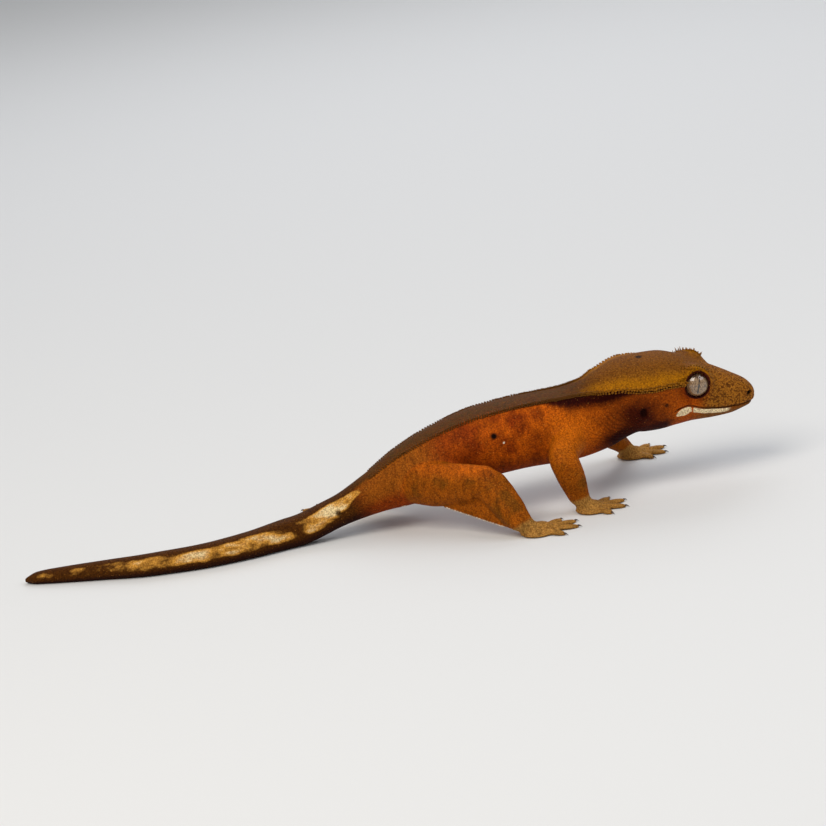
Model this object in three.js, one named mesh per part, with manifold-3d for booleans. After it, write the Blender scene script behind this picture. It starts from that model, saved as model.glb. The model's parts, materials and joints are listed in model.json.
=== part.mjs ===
// Crested gecko, a still life-size model in a walking pose on level ground: the right hind foot and the left
// hand are forward, the hips are low, the chest is raised and the tail trails along the ground.
// Millimetres, +Z up, the snout towards +X and the animal's own left towards +Y.
// Snout to vent is 95 mm and the tail is about as long again.
import * as THREE from "three";
import { mergeVertices } from "three/addons/utils/BufferGeometryUtils.js";
import Module from "manifold-3d";

const wasm = await Module();
wasm.setup();

// Clearance between neighbouring pieces.
const gap = 0.3;
// Vertices from the belly up to the crest, and from the crest up to the middle of the back, on each side.
const sidesBelowCrest = 9;
const sidesAboveCrest = 4;
// Distance between the rings of the head, the body and the tail.
const headRingStep = 1.5;
const bodyRingStep = 2.8;
const tailRingStep = 3.6;
// Squareness of the body's sections, where 2 is an ellipse.
const squareness = 2.35;
// Half width of the crest ridge, in degrees round the section.
const crestSpread = 10;

// Sections from the snout to the tail tip. at is the centre, wide is half the width, up and down are the
// reach above and below the centre, crest is the angle of the crest ridge above the level of the centre in
// degrees, rise is how far the ridge stands out, and roll tips the right side down, in degrees.
const bodySections = [
  { name: "snout tip", at: [63.8, 2.5, 19.0], wide: 0.5, up: 0.5, down: 0.5, crest: 40, rise: 0, roll: 8 },
  { name: "snout front", at: [63.2, 2.4, 19.1], wide: 1.9, up: 1.7, down: 1.8, crest: 40, rise: 0, roll: 8 },
  { name: "nostrils", at: [61.8, 2.4, 19.5], wide: 3.3, up: 2.9, down: 3.2, crest: 40, rise: 0, roll: 8 },
  { name: "snout", at: [59.8, 2.25, 19.8], wide: 4.4, up: 4.0, down: 4.3, crest: 42, rise: 0.1, roll: 8 },
  { name: "muzzle", at: [57.4, 2.05, 20.4], wide: 5.2, up: 4.8, down: 5.4, crest: 44, rise: 0.2, roll: 8 },
  { name: "eye front", at: [53.3, 1.7, 21.4], wide: 6.4, up: 6.1, down: 6.5, crest: 46, rise: 0.3, roll: 8 },
  { name: "eyes", at: [48.6, 1.3, 22.6], wide: 7.6, up: 7.4, down: 7.5, crest: 43, rise: 1.0, roll: 8 },
  { name: "eye back", at: [44.4, 1.0, 23.6], wide: 8.8, up: 8.6, down: 8.7, crest: 26, rise: 0.8, roll: 9 },
  { name: "temples", at: [39.5, 0.6, 24.4], wide: 9.5, up: 9.2, down: 9.7, crest: 26, rise: 0.8, roll: 13 },
  { name: "occiput", at: [32.8, 0.2, 24.5], wide: 8.9, up: 9.3, down: 9.8, crest: 33, rise: 1.0, roll: 18 },
  { name: "nape", at: [28.0, 0.0, 23.1], wide: 7.7, up: 8.9, down: 9.7, crest: 43, rise: 0.9, roll: 15 },
  { name: "neck", at: [23.0, 0.0, 21.2], wide: 7.1, up: 8.4, down: 9.9, crest: 56, rise: 0.7, roll: 9 },
  { name: "shoulders", at: [15.0, 0.0, 19.8], wide: 8.0, up: 8.4, down: 9.6, crest: 61, rise: 0.6, roll: 4 },
  { name: "chest", at: [6.0, 0.0, 19.6], wide: 8.9, up: 8.4, down: 9.2, crest: 59, rise: 0.5, roll: 1 },
  { name: "belly", at: [-4.0, 0.0, 18.8], wide: 9.2, up: 8.4, down: 9.1, crest: 56, rise: 0.5, roll: 0 },
  { name: "loin", at: [-15.0, 0.0, 16.4], wide: 8.6, up: 7.9, down: 8.3, crest: 56, rise: 0.45, roll: 0 },
  { name: "hips", at: [-25.0, 0.0, 13.3], wide: 7.3, up: 6.8, down: 7.7, crest: 56, rise: 0.4, roll: 0 },
  { name: "vent", at: [-34.0, 0.0, 10.1], wide: 5.5, up: 4.9, down: 5.5, crest: 56, rise: 0.2, roll: 0 },
  { name: "tail root", at: [-44.0, -0.2, 6.5], wide: 4.4, up: 3.8, down: 3.9, crest: 54, rise: 0, roll: 0 },
  { name: "tail lands", at: [-55.0, -1.5, 3.6], wide: 4.0, up: 3.8, down: 3.7, crest: 54, rise: 0, roll: 0 },
  { name: "tail swell", at: [-67.0, -5.2, 3.1], wide: 3.5, up: 3.3, down: 3.2, crest: 54, rise: 0, roll: 0 },
  { name: "tail bend", at: [-79.0, -7.0, 2.8], wide: 3.2, up: 3.0, down: 2.95, crest: 54, rise: 0, roll: 0 },
  { name: "tail half", at: [-91.0, -6.2, 2.6], wide: 3.0, up: 2.8, down: 2.75, crest: 54, rise: 0, roll: 0 },
  { name: "tail rear", at: [-102.5, -3.0, 2.2], wide: 2.7, up: 2.4, down: 2.4, crest: 54, rise: 0, roll: 0 },
  { name: "tail end", at: [-114.0, 0.4, 1.75], wide: 2.3, up: 1.95, down: 1.9, crest: 54, rise: 0, roll: 0 },
  { name: "tail pad", at: [-120.5, 2.6, 1.35], wide: 2.0, up: 1.5, down: 1.5, crest: 54, rise: 0, roll: 0 },
  { name: "tail tip", at: [-123.8, 3.8, 0.8], wide: 0.7, up: 0.5, down: 0.5, crest: 54, rise: 0, roll: 0 },
];

// Places where the body is parted, as section names.
const bodyParts = [
  { name: "neck", from: "occiput", to: "neck", step: bodyRingStep },
  { name: "chest", from: "neck", to: "belly", step: bodyRingStep },
  { name: "abdomen", from: "belly", to: "hips", step: bodyRingStep },
  { name: "pelvis", from: "hips", to: "vent", step: bodyRingStep },
  { name: "tail_base", from: "vent", to: "tail lands", step: tailRingStep },
  { name: "tail_front", from: "tail lands", to: "tail bend", step: tailRingStep },
  { name: "tail_middle", from: "tail bend", to: "tail rear", step: tailRingStep },
  { name: "tail_tip", from: "tail rear", to: "tail tip", step: tailRingStep },
];

// Eyes: a ball set in each side of the head, with a raised rim of skin round it.
const eyeRadius = 3.3;
const eyeFront = -0.5;
const eyeOut = 5.0;
const eyeUp = 3.6;
const eyeRimRadius = 2.95;
const eyeRimThickness = 0.62;
const eyeRimOut = 6.75;
// The brow over each eye, which carries the lash spines.
const browReach = 4.1;
const browWidth = 2.7;
const browHeight = 2.4;
const browFront = -1.4;
const browOut = 4.5;
const browUp = 6.2;
// Where the lash spines stand on the brow, in degrees above its outermost point.
const lashTilt = 42;
// Nostrils and ear openings are pits.
const nostrilRadius = 0.5;
const nostrilUp = 0.9;
const earHeight = 1.5;
const earLength = 0.95;
const earDrop = 1.6;
const earAhead = 1.8;

// The mouth line and the back of the jaw seen from the side: the height above the section's centre at each
// distance along the body from the snout tip.
const mouthLine = [
  { along: -2.0, level: -1.5 },
  { along: 2.5, level: -1.6 },
  { along: 8.5, level: -2.3 },
  { along: 13.5, level: -2.3 },
  { along: 18.0, level: -1.6 },
  { along: 21.5, level: -1.9 },
  { along: 25.5, level: -4.6 },
  { along: 26.8, level: -10.5 },
];
const mouthHalfWidth = 14;

// Crest spines.
const spineSides = 4;
const spineRadius = 0.42;
const spineSunk = 0.7;
// Distance that the spines keep from where a piece is parted from the next.
const spineMargin = 1.15;
const headSpineStep = 1.5;
const backSpineStep = 1.9;
const lashesPerBrow = 9;
const lashHeight = 1.25;
const crestSpineHeight = 0.95;

// Material colours.
const colours = {
  skin: 0xa4521a,
  dorsal: 0x7a5a26,
  tail: 0xa8752e,
  limb: 0x9a5c1c,
  eye: 0x9a8f80,
};

// Sizes of the toes as shares of the toe's length, and half widths and half heights in millimetres.
const toeShape = [
  { share: -0.12, half: 0.5, high: 0.55 },
  { share: 0.02, half: 0.72, high: 0.78 },
  { share: 0.28, half: 0.78, high: 0.7 },
  { share: 0.52, half: 1.15, high: 0.6 },
  { share: 0.76, half: 1.25, high: 0.52 },
  { share: 0.92, half: 0.78, high: 0.45 },
  { share: 1.0, half: 0.35, high: 0.32 },
];
const toeSides = 7;
const clawLength = 1.0;
const clawRadius = 0.3;
const palmHeight = 1.55;
// The skin between the toes, beyond the palm's own reach.
const toeWebReach = 1.7;
const toeWebHeight = 0.7;

// Limbs. Each knot of a limb is a centre with the half thickness along the limb's guide direction and across
// it, and the guide is the direction that the first half thickness is measured in.
const upright = [0, 0, 1];
const forward = [1, 0, 0];
const limbs = [
  {
    side: "right",
    kind: "fore",
    upper: {
      name: "upper_arm",
      guide: upright,
      knots: [
        { at: [17.6, -3.5, 18.2], thick: 5.2, across: 4.3 },
        { at: [15.8, -8.2, 17.5], thick: 4.7, across: 4.0 },
        { at: [13.9, -12.0, 16.1], thick: 4.1, across: 3.6 },
        { at: [12.7, -14.2, 14.6], thick: 3.5, across: 3.2 },
      ],
    },
    lower: {
      name: "forearm",
      guide: forward,
      knots: [
        { at: [13.6, -14.6, 14.4], thick: 3.8, across: 3.3 },
        { at: [14.5, -14.5, 11.0], thick: 3.6, across: 3.1 },
        { at: [15.4, -14.0, 7.2], thick: 3.2, across: 2.6 },
        { at: [16.1, -13.6, 3.8], thick: 2.8, across: 2.2 },
      ],
    },
    end: {
      name: "hand",
      joint: [16.1, -13.6, 3.9],
      palm: [18.3, -13.0],
      palmLong: 3.3,
      palmWide: 3.1,
      heading: 16,
      toes: [
        { turn: 72, length: 5.4 },
        { turn: 37, length: 7.0 },
        { turn: 5, length: 7.6 },
        { turn: -28, length: 7.1 },
        { turn: -66, length: 5.8 },
      ],
    },
  },
  {
    side: "left",
    kind: "fore",
    upper: {
      name: "upper_arm",
      guide: upright,
      knots: [
        { at: [17.5, 3.5, 18.2], thick: 5.0, across: 4.3 },
        { at: [20.0, 9.0, 17.0], thick: 4.5, across: 4.0 },
        { at: [22.6, 14.2, 14.8], thick: 3.9, across: 3.6 },
        { at: [24.4, 17.8, 12.6], thick: 3.4, across: 3.2 },
      ],
    },
    lower: {
      name: "forearm",
      guide: upright,
      knots: [
        { at: [24.3, 17.6, 12.7], thick: 3.4, across: 3.3 },
        { at: [26.4, 20.6, 9.8], thick: 3.3, across: 3.1 },
        { at: [28.8, 23.8, 6.6], thick: 2.8, across: 2.7 },
        { at: [30.8, 26.4, 3.9], thick: 2.3, across: 2.4 },
      ],
    },
    end: {
      name: "hand",
      joint: [30.8, 26.4, 3.9],
      palm: [32.8, 28.3],
      palmLong: 3.3,
      palmWide: 3.1,
      heading: 26,
      toes: [
        { turn: -70, length: 5.4 },
        { turn: -37, length: 7.0 },
        { turn: -5, length: 7.6 },
        { turn: 28, length: 7.1 },
        { turn: 66, length: 5.8 },
      ],
    },
  },
  {
    side: "right",
    kind: "hind",
    upper: {
      name: "thigh",
      guide: upright,
      knots: [
        { at: [-24.0, -3.0, 12.2], thick: 5.8, across: 5.0 },
        { at: [-19.0, -8.4, 12.0], thick: 5.7, across: 4.7 },
        { at: [-12.4, -13.4, 12.3], thick: 5.3, across: 4.2 },
        { at: [-5.4, -17.4, 12.7], thick: 4.2, across: 3.8 },
      ],
    },
    lower: {
      name: "shin",
      guide: forward,
      knots: [
        { at: [-5.2, -17.8, 12.4], thick: 4.2, across: 3.7 },
        { at: [-3.2, -20.4, 9.3], thick: 4.1, across: 3.3 },
        { at: [-0.9, -23.4, 6.0], thick: 3.6, across: 2.8 },
        { at: [0.8, -25.4, 3.5], thick: 3.0, across: 2.4 },
      ],
    },
    web: {
      corners: [
        [-17.2, -12.4, 6.7],
        [-0.9, -25.7, 1.7],
        [-4.6, -18.6, 11.5],
      ],
      thickness: 1.5,
    },
    end: {
      name: "foot",
      joint: [0.9, -25.5, 3.5],
      palm: [4.2, -24.4],
      palmLong: 4.0,
      palmWide: 3.2,
      heading: 22,
      toes: [
        { turn: 56, length: 5.6 },
        { turn: 26, length: 7.8 },
        { turn: 0, length: 8.8 },
        { turn: -26, length: 8.4 },
        { turn: -62, length: 6.6 },
      ],
    },
  },
  {
    side: "left",
    kind: "hind",
    upper: {
      name: "thigh",
      guide: upright,
      knots: [
        { at: [-18.5, 2.8, 13.0], thick: 5.6, across: 5.0 },
        { at: [-23.5, 8.2, 11.3], thick: 5.0, across: 4.6 },
        { at: [-29.0, 12.8, 8.9], thick: 4.3, across: 4.1 },
        { at: [-33.6, 16.2, 6.7], thick: 3.7, across: 3.7 },
      ],
    },
    lower: {
      name: "shin",
      guide: upright,
      knots: [
        { at: [-33.3, 16.0, 6.8], thick: 3.6, across: 3.7 },
        { at: [-37.4, 17.0, 5.4], thick: 3.3, across: 3.4 },
        { at: [-41.2, 17.8, 4.1], thick: 2.7, across: 2.9 },
        { at: [-44.0, 18.4, 3.1], thick: 2.3, across: 2.5 },
      ],
    },
    end: {
      name: "foot",
      joint: [-44.1, 18.4, 3.1],
      palm: [-46.0, 20.6],
      palmLong: 3.6,
      palmWide: 3.2,
      heading: 112,
      toes: [
        { turn: -62, length: 6.0 },
        { turn: -30, length: 7.4 },
        { turn: -2, length: 7.8 },
        { turn: 26, length: 7.6 },
        { turn: 58, length: 6.2 },
      ],
    },
  },
];
const limbSides = 12;
const limbRings = 7;
const ankleSides = 9;
const ankleRings = 3;

// Numbers that are read off the sections at any distance along the body.
const columns = ["x", "y", "z", "wide", "up", "down", "crest", "rise", "roll"];

function sectionRow(section) {
  const [x, y, z] = section.at;
  return { ...section, x, y, z };
}

const rows = bodySections.map(sectionRow);
const distances = [0];
for (let i = 1; i < rows.length; i++) {
  const step = new THREE.Vector3(...rows[i].at).distanceTo(new THREE.Vector3(...rows[i - 1].at));
  distances.push(distances[i - 1] + step);
}
const bodyLength = distances[distances.length - 1];

// Slopes of a smooth curve through the values that never overshoots them.
function gentleSlopes(values) {
  const rates = values.slice(1).map((v, i) => (v - values[i]) / (distances[i + 1] - distances[i]));
  return values.map((_, i) => {
    if (i === 0) return rates[0];
    if (i === values.length - 1) return rates[i - 1];
    const before = rates[i - 1];
    const after = rates[i];
    return before * after <= 0 ? 0 : (2 * before * after) / (before + after);
  });
}

const curves = Object.fromEntries(
  columns.map((name) => {
    const values = rows.map((row) => row[name]);
    return [name, { values, slopes: gentleSlopes(values) }];
  }),
);

function valueAt(name, along) {
  const { values, slopes } = curves[name];
  const s = Math.min(Math.max(along, 0), bodyLength);
  let i = distances.findIndex((d) => d > s) - 1;
  if (i < 0) i = distances.length - 2;
  const span = distances[i + 1] - distances[i];
  const t = (s - distances[i]) / span;
  const start = (1 + 2 * t) * (1 - t) ** 2 * values[i] + t * (1 - t) ** 2 * span * slopes[i];
  const end = t * t * (3 - 2 * t) * values[i + 1] + t * t * (t - 1) * span * slopes[i + 1];
  return start + end;
}

function distanceTo(sectionName) {
  return distances[rows.findIndex((row) => row.name === sectionName)];
}

function centreAt(along) {
  return new THREE.Vector3(valueAt("x", along), valueAt("y", along), valueAt("z", along));
}

// The centre of the section and its own forward, left and upward directions.
function frameAt(along) {
  const reach = 3.5;
  const ahead = centreAt(Math.max(along - reach, 0));
  const behind = centreAt(Math.min(along + reach, bodyLength));
  const front = ahead.sub(behind).normalize();
  const left = new THREE.Vector3(...upright).cross(front).normalize();
  const up = front.clone().cross(left);
  const roll = THREE.MathUtils.degToRad(valueAt("roll", along));
  return {
    centre: centreAt(along),
    front,
    left: left.clone().multiplyScalar(Math.cos(roll)).addScaledVector(up, Math.sin(roll)),
    up: up.clone().multiplyScalar(Math.cos(roll)).addScaledVector(left, -Math.sin(roll)),
  };
}

// A point of a section in its frame: forward, left and up of the centre.
function placed(frame, front, left, up) {
  return frame.centre
    .clone()
    .addScaledVector(frame.front, front)
    .addScaledVector(frame.left, left)
    .addScaledVector(frame.up, up);
}

// A point on the skin: degrees above the level of the centre, on the left (1) or right (-1) side.
function skinPoint(along, degrees, side, grow = 0, frame = frameAt(along)) {
  const angle = THREE.MathUtils.degToRad(degrees);
  const power = 2 / squareness;
  const across = Math.abs(Math.cos(angle)) ** power;
  const height = Math.abs(Math.sin(angle)) ** power;
  const tall = degrees > 0 ? valueAt("up", along) : -valueAt("down", along);
  const offset = (degrees - valueAt("crest", along)) / crestSpread;
  const ridge = 1 + (valueAt("rise", along) * Math.exp(-offset * offset)) / Math.abs(tall);
  const out = side * (valueAt("wide", along) * across * ridge + grow * Math.cos(angle));
  return placed(frame, 0, out, tall * height * ridge + grow * Math.sin(angle));
}

// The skin's own outward direction at a point.
function skinNormal(along, degrees, side) {
  const reach = 0.5;
  const turn = 4;
  const alongSkin = skinPoint(along - reach, degrees, side).sub(skinPoint(along + reach, degrees, side));
  const roundSkin = skinPoint(along, degrees + turn, side).sub(skinPoint(along, degrees - turn, side));
  return alongSkin.cross(roundSkin).multiplyScalar(side).normalize();
}

// The angles of a section's vertices, with one always on the crest ridge.
function ringOf(along, grow, frame) {
  const crest = valueAt("crest", along);
  const oneSide = [];
  for (let i = 0; i < sidesBelowCrest; i++) oneSide.push(-90 + ((crest + 90) * i) / sidesBelowCrest);
  for (let i = 0; i < sidesAboveCrest; i++) oneSide.push(crest + ((90 - crest) * i) / sidesAboveCrest);
  const right = oneSide.map((angle) => skinPoint(along, angle, -1, grow, frame));
  const left = [...oneSide.slice(1), 90].reverse().map((angle) => skinPoint(along, angle, 1, grow, frame));
  return [...right, ...left];
}

// A closed mesh through rings of equally many points, with a fan over each end.
function loft(rings) {
  const sides = rings[0].length;
  const points = rings.flat();
  const middle = (ring) =>
    ring.reduce((sum, p) => sum.add(p), new THREE.Vector3()).divideScalar(ring.length);
  const first = points.push(middle(rings[0])) - 1;
  const last = points.push(middle(rings[rings.length - 1])) - 1;
  const faces = [];
  for (let r = 0; r < rings.length - 1; r++) {
    for (let i = 0; i < sides; i++) {
      const j = (i + 1) % sides;
      const [a, b] = [r * sides + i, r * sides + j];
      faces.push(a, b, b + sides, a, b + sides, a + sides);
    }
  }
  const end = (rings.length - 1) * sides;
  for (let i = 0; i < sides; i++) {
    const j = (i + 1) % sides;
    faces.push(first, j, i, last, end + i, end + j);
  }
  const geometry = new THREE.BufferGeometry();
  geometry.setAttribute(
    "position",
    new THREE.Float32BufferAttribute(points.flatMap((p) => [p.x, p.y, p.z]), 3),
  );
  geometry.setIndex(faces);
  return geometry;
}

// A three.js geometry as a solid, turned right side out.
function solidOf(geometry) {
  geometry.deleteAttribute("normal");
  geometry.deleteAttribute("uv");
  const merged = mergeVertices(geometry, 1e-4);
  const vertProperties = new Float32Array(merged.getAttribute("position").array);
  const triVerts = new Uint32Array(merged.index.array);
  const made = new wasm.Manifold(new wasm.Mesh({ numProp: 3, vertProperties, triVerts }));
  if (made.volume() > 0) return made;
  for (let i = 0; i < triVerts.length; i += 3) {
    [triVerts[i + 1], triVerts[i + 2]] = [triVerts[i + 2], triVerts[i + 1]];
  }
  return new wasm.Manifold(new wasm.Mesh({ numProp: 3, vertProperties, triVerts }));
}

function joined(solids) {
  return solids.reduce((whole, piece) => whole.add(piece));
}

// The largest closed surface of a solid.
function largest(solid) {
  const pieces = solid.decompose();
  return pieces.reduce((best, piece) => (piece.volume() > best.volume() ? piece : best));
}

function geometryOf(solid) {
  const mesh = solid.getMesh();
  const geometry = new THREE.BufferGeometry();
  geometry.setAttribute("position", new THREE.BufferAttribute(new Float32Array(mesh.vertProperties), 3));
  geometry.setIndex(new THREE.BufferAttribute(new Uint32Array(mesh.triVerts), 1));
  geometry.computeVertexNormals();
  return geometry;
}

// A stretch of the body between two distances from the snout tip. The trims shorten its front and rear.
function bodyStretch(from, to, step, { grow = 0, frontTrim = 0, rearTrim = 0 } = {}) {
  const count = Math.max(2, Math.round((to - from) / step));
  const rings = [];
  for (let i = 0; i <= count; i++) {
    const along = from + ((to - from) * i) / count;
    const frame = frameAt(along);
    if (i === 0) frame.centre.addScaledVector(frame.front, -frontTrim);
    if (i === count) frame.centre.addScaledVector(frame.front, rearTrim);
    rings.push(ringOf(along, grow, frame));
  }
  return solidOf(loft(rings));
}

// An ellipsoid with its own axes in a section's frame.
function ellipsoid(frame, place, radii, widthSegments, heightSegments) {
  const geometry = new THREE.SphereGeometry(1, widthSegments, heightSegments);
  const basis = new THREE.Matrix4().makeBasis(frame.front, frame.left, frame.up);
  basis.scale(new THREE.Vector3(...radii)).setPosition(place);
  return solidOf(geometry.applyMatrix4(basis));
}

// A pointed scale that leaves the skin in a given direction.
function spike(root, direction, height, radius) {
  const length = height + spineSunk;
  const geometry = new THREE.ConeGeometry(radius, length, spineSides);
  const turn = new THREE.Quaternion().setFromUnitVectors(new THREE.Vector3(0, 1, 0), direction);
  const middle = root.clone().addScaledVector(direction, length / 2 - spineSunk);
  geometry.applyMatrix4(new THREE.Matrix4().compose(middle, turn, new THREE.Vector3(1, 1, 1)));
  return solidOf(geometry);
}

// The crest's spines between two distances, leaning back and a little outward.
function crestSpines(from, to, step, height) {
  const lean = 0.35;
  const count = Math.floor((to - from) / step);
  const spines = [];
  for (const side of [-1, 1]) {
    for (let i = 0; i < count; i++) {
      const along = from + ((i + 0.5) * (to - from)) / count;
      const crest = valueAt("crest", along);
      const direction = skinNormal(along, crest, side);
      direction.addScaledVector(frameAt(along).front, -lean).normalize();
      const uneven = 1 + 0.22 * Math.sin(2.4 * i + side);
      spines.push(spike(skinPoint(along, crest, side), direction, height(along) * uneven, spineRadius));
    }
  }
  return spines;
}

// Crest height: full from the temples to the nape, then lower along the back.
function crestHeight(along) {
  const share = THREE.MathUtils.smoothstep(along, distanceTo("neck"), distanceTo("vent"));
  return crestSpineHeight * (1 - 0.45 * share);
}

const alongEyes = distanceTo("eyes");
const eyeFrame = frameAt(alongEyes);

function eyeCentre(side) {
  return placed(eyeFrame, eyeFront, side * eyeOut, eyeUp);
}

function eyeBall(side, radius) {
  const geometry = new THREE.SphereGeometry(radius, 16, 10);
  return solidOf(geometry.translate(...eyeCentre(side).toArray()));
}

function eyeRim(side) {
  const geometry = new THREE.TorusGeometry(eyeRimRadius, eyeRimThickness, 6, 18);
  const basis = new THREE.Matrix4().makeBasis(eyeFrame.front, eyeFrame.up, eyeFrame.left);
  const place = placed(eyeFrame, eyeFront, side * eyeRimOut, eyeUp);
  return solidOf(geometry.applyMatrix4(basis.setPosition(place)));
}

function brow(side) {
  const place = placed(eyeFrame, browFront, side * browOut, browUp);
  return ellipsoid(eyeFrame, place, [browReach, browWidth, browHeight], 14, 8);
}

// The lash spines fan out over the brow's outer edge, the middle ones tallest.
function lashes(side) {
  const spread = 0.9;
  const tilt = THREE.MathUtils.degToRad(lashTilt);
  const spines = [];
  for (let i = 0; i < lashesPerBrow; i++) {
    const share = i / (lashesPerBrow - 1) - 0.5;
    const rise = Math.sqrt(1 - (1.7 * share) ** 2);
    const root = placed(
      eyeFrame,
      browFront - 1.7 * share * browReach,
      side * (browOut + browWidth * rise * Math.cos(tilt)),
      browUp + browHeight * rise * Math.sin(tilt),
    );
    const direction = new THREE.Vector3()
      .addScaledVector(eyeFrame.up, 0.85)
      .addScaledVector(eyeFrame.left, 0.5 * side)
      .addScaledVector(eyeFrame.front, -2 * spread * share)
      .normalize();
    spines.push(spike(root, direction, lashHeight * (0.62 + 0.38 * rise), spineRadius));
  }
  return spines;
}

function nostril(side) {
  const along = distanceTo("nostrils");
  const frame = frameAt(along);
  const place = placed(frame, 0.1, side * valueAt("wide", along) * 0.88, nostrilUp);
  return ellipsoid(frame, place, [nostrilRadius, nostrilRadius, nostrilRadius], 8, 6);
}

function earPit(side) {
  const along = distanceTo("occiput") - earAhead;
  const frame = frameAt(along);
  const place = placed(frame, 0, side * (valueAt("wide", along) - 0.1), -earDrop);
  return ellipsoid(frame, place, [earLength, 0.9, earHeight], 10, 6);
}

// A thin curved sheet along the mouth line and down behind the jaw, which parts the jaw from the head.
function mouthCut() {
  const line = mouthLine.map(({ along, level }) => {
    const frame = frameAt(Math.max(along, 0));
    return { frame, point: placed(frame, -Math.min(along, 0), 0, level) };
  });
  const rings = line.map(({ frame, point }, i) => {
    const before = line[Math.max(i - 1, 0)].point;
    const after = line[Math.min(i + 1, line.length - 1)].point;
    const across = after.clone().sub(before).cross(frame.left).normalize();
    const corner = (left, thick) =>
      point.clone().addScaledVector(frame.left, left).addScaledVector(across, (thick * gap) / 2);
    return [
      corner(-mouthHalfWidth, -1),
      corner(mouthHalfWidth, -1),
      corner(mouthHalfWidth, 1),
      corner(-mouthHalfWidth, 1),
    ];
  });
  return solidOf(loft(rings));
}

// Two pieces: the head with its brows, lids, spines and pits, and the lower jaw.
function headAndJaw() {
  const end = distanceTo("occiput");
  let head = bodyStretch(0, end, headRingStep, { rearTrim: gap / 2 });
  const temple = crestSpines(alongEyes + 3.4, end - spineMargin, headSpineStep, crestHeight);
  for (const side of [-1, 1]) head = joined([head, brow(side), eyeRim(side), ...lashes(side)]);
  head = joined([head, ...temple]);
  for (const side of [-1, 1]) {
    head = head.subtract(eyeBall(side, eyeRadius + gap)).subtract(nostril(side)).subtract(earPit(side));
  }
  const pieces = head.subtract(mouthCut()).decompose();
  pieces.sort((a, b) => b.volume() - a.volume());
  return { head: pieces[0], jaw: pieces[1] };
}

// A tube through knots with elliptical sections and rounded ends.
function limbTube(segment, grow = 0, sides = limbSides, steps = limbRings) {
  const knots = segment.knots.map((knot) => new THREE.Vector3(...knot.at));
  const curve = new THREE.CatmullRomCurve3(knots, false, "centripetal");
  const guide = new THREE.Vector3(...segment.guide);
  const last = segment.knots.length - 1;
  const sizeAt = (share, key) => {
    const i = Math.min(Math.floor(share * last), last - 1);
    return THREE.MathUtils.lerp(segment.knots[i][key], segment.knots[i + 1][key], share * last - i);
  };
  const ring = (share, reach, shrink) => {
    const ahead = curve.getTangent(share);
    const across = ahead.clone().cross(guide).normalize();
    const thickWay = across.clone().cross(ahead).normalize();
    const thick = (sizeAt(share, "thick") + grow) * shrink;
    const wide = (sizeAt(share, "across") + grow) * shrink;
    const centre = curve.getPoint(share).addScaledVector(ahead, reach);
    return Array.from({ length: sides }, (_, i) => {
      const angle = (2 * Math.PI * i) / sides;
      return centre
        .clone()
        .addScaledVector(thickWay, thick * Math.cos(angle))
        .addScaledVector(across, wide * Math.sin(angle));
    });
  };
  const rings = [];
  const bulge = (share) => 0.5 * (sizeAt(share, "across") + grow);
  rings.push(ring(0, -bulge(0), 0.45), ring(0, -0.6 * bulge(0), 0.8));
  for (let i = 0; i <= steps; i++) rings.push(ring(i / steps, 0, 1));
  rings.push(ring(1, 0.6 * bulge(1), 0.8), ring(1, bulge(1), 0.45));
  return solidOf(loft(rings));
}

// The fold of skin that spans the back of the bent knee, as a thin three-cornered plate with round edges.
function kneeWeb(web) {
  const corners = web.corners.map((corner) => new THREE.Vector3(...corner));
  const [a, b, c] = corners;
  const across = b.clone().sub(a).cross(c.clone().sub(a)).normalize();
  const steps = [-0.5, -0.25, 0.25, 0.5];
  const centre = a.clone().add(b).add(c).divideScalar(3);
  const rings = steps.map((share) =>
    corners.map((corner) => {
      const inset = Math.abs(share) > 0.4 ? 0.9 : 1;
      return centre
        .clone()
        .lerp(corner, inset)
        .addScaledVector(across, share * web.thickness);
    }),
  );
  return solidOf(loft(rings));
}

function toe(palm, degrees, length) {
  const angle = THREE.MathUtils.degToRad(degrees);
  const ahead = new THREE.Vector3(Math.cos(angle), Math.sin(angle), 0);
  const aside = new THREE.Vector3(-Math.sin(angle), Math.cos(angle), 0);
  const root = palm.clone().addScaledVector(ahead, 1.9);
  const rings = toeShape.map(({ share, half, high }) => {
    const arch = 0.35 * Math.sin(Math.PI * Math.max(share, 0));
    const centre = root.clone().addScaledVector(ahead, share * length);
    return Array.from({ length: toeSides }, (_, i) => {
      const turn = (2 * Math.PI * i) / toeSides;
      const point = centre.clone().addScaledVector(aside, half * Math.cos(turn));
      point.z = high * 0.82 + arch * 0.5 + high * Math.sin(turn);
      return point;
    });
  });
  const tip = root.clone().addScaledVector(ahead, length - 0.1);
  tip.z = 0.42;
  const claw = spike(tip, ahead.clone().setZ(-0.12).normalize(), clawLength, clawRadius);
  return solidOf(loft(rings)).add(claw);
}

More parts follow.
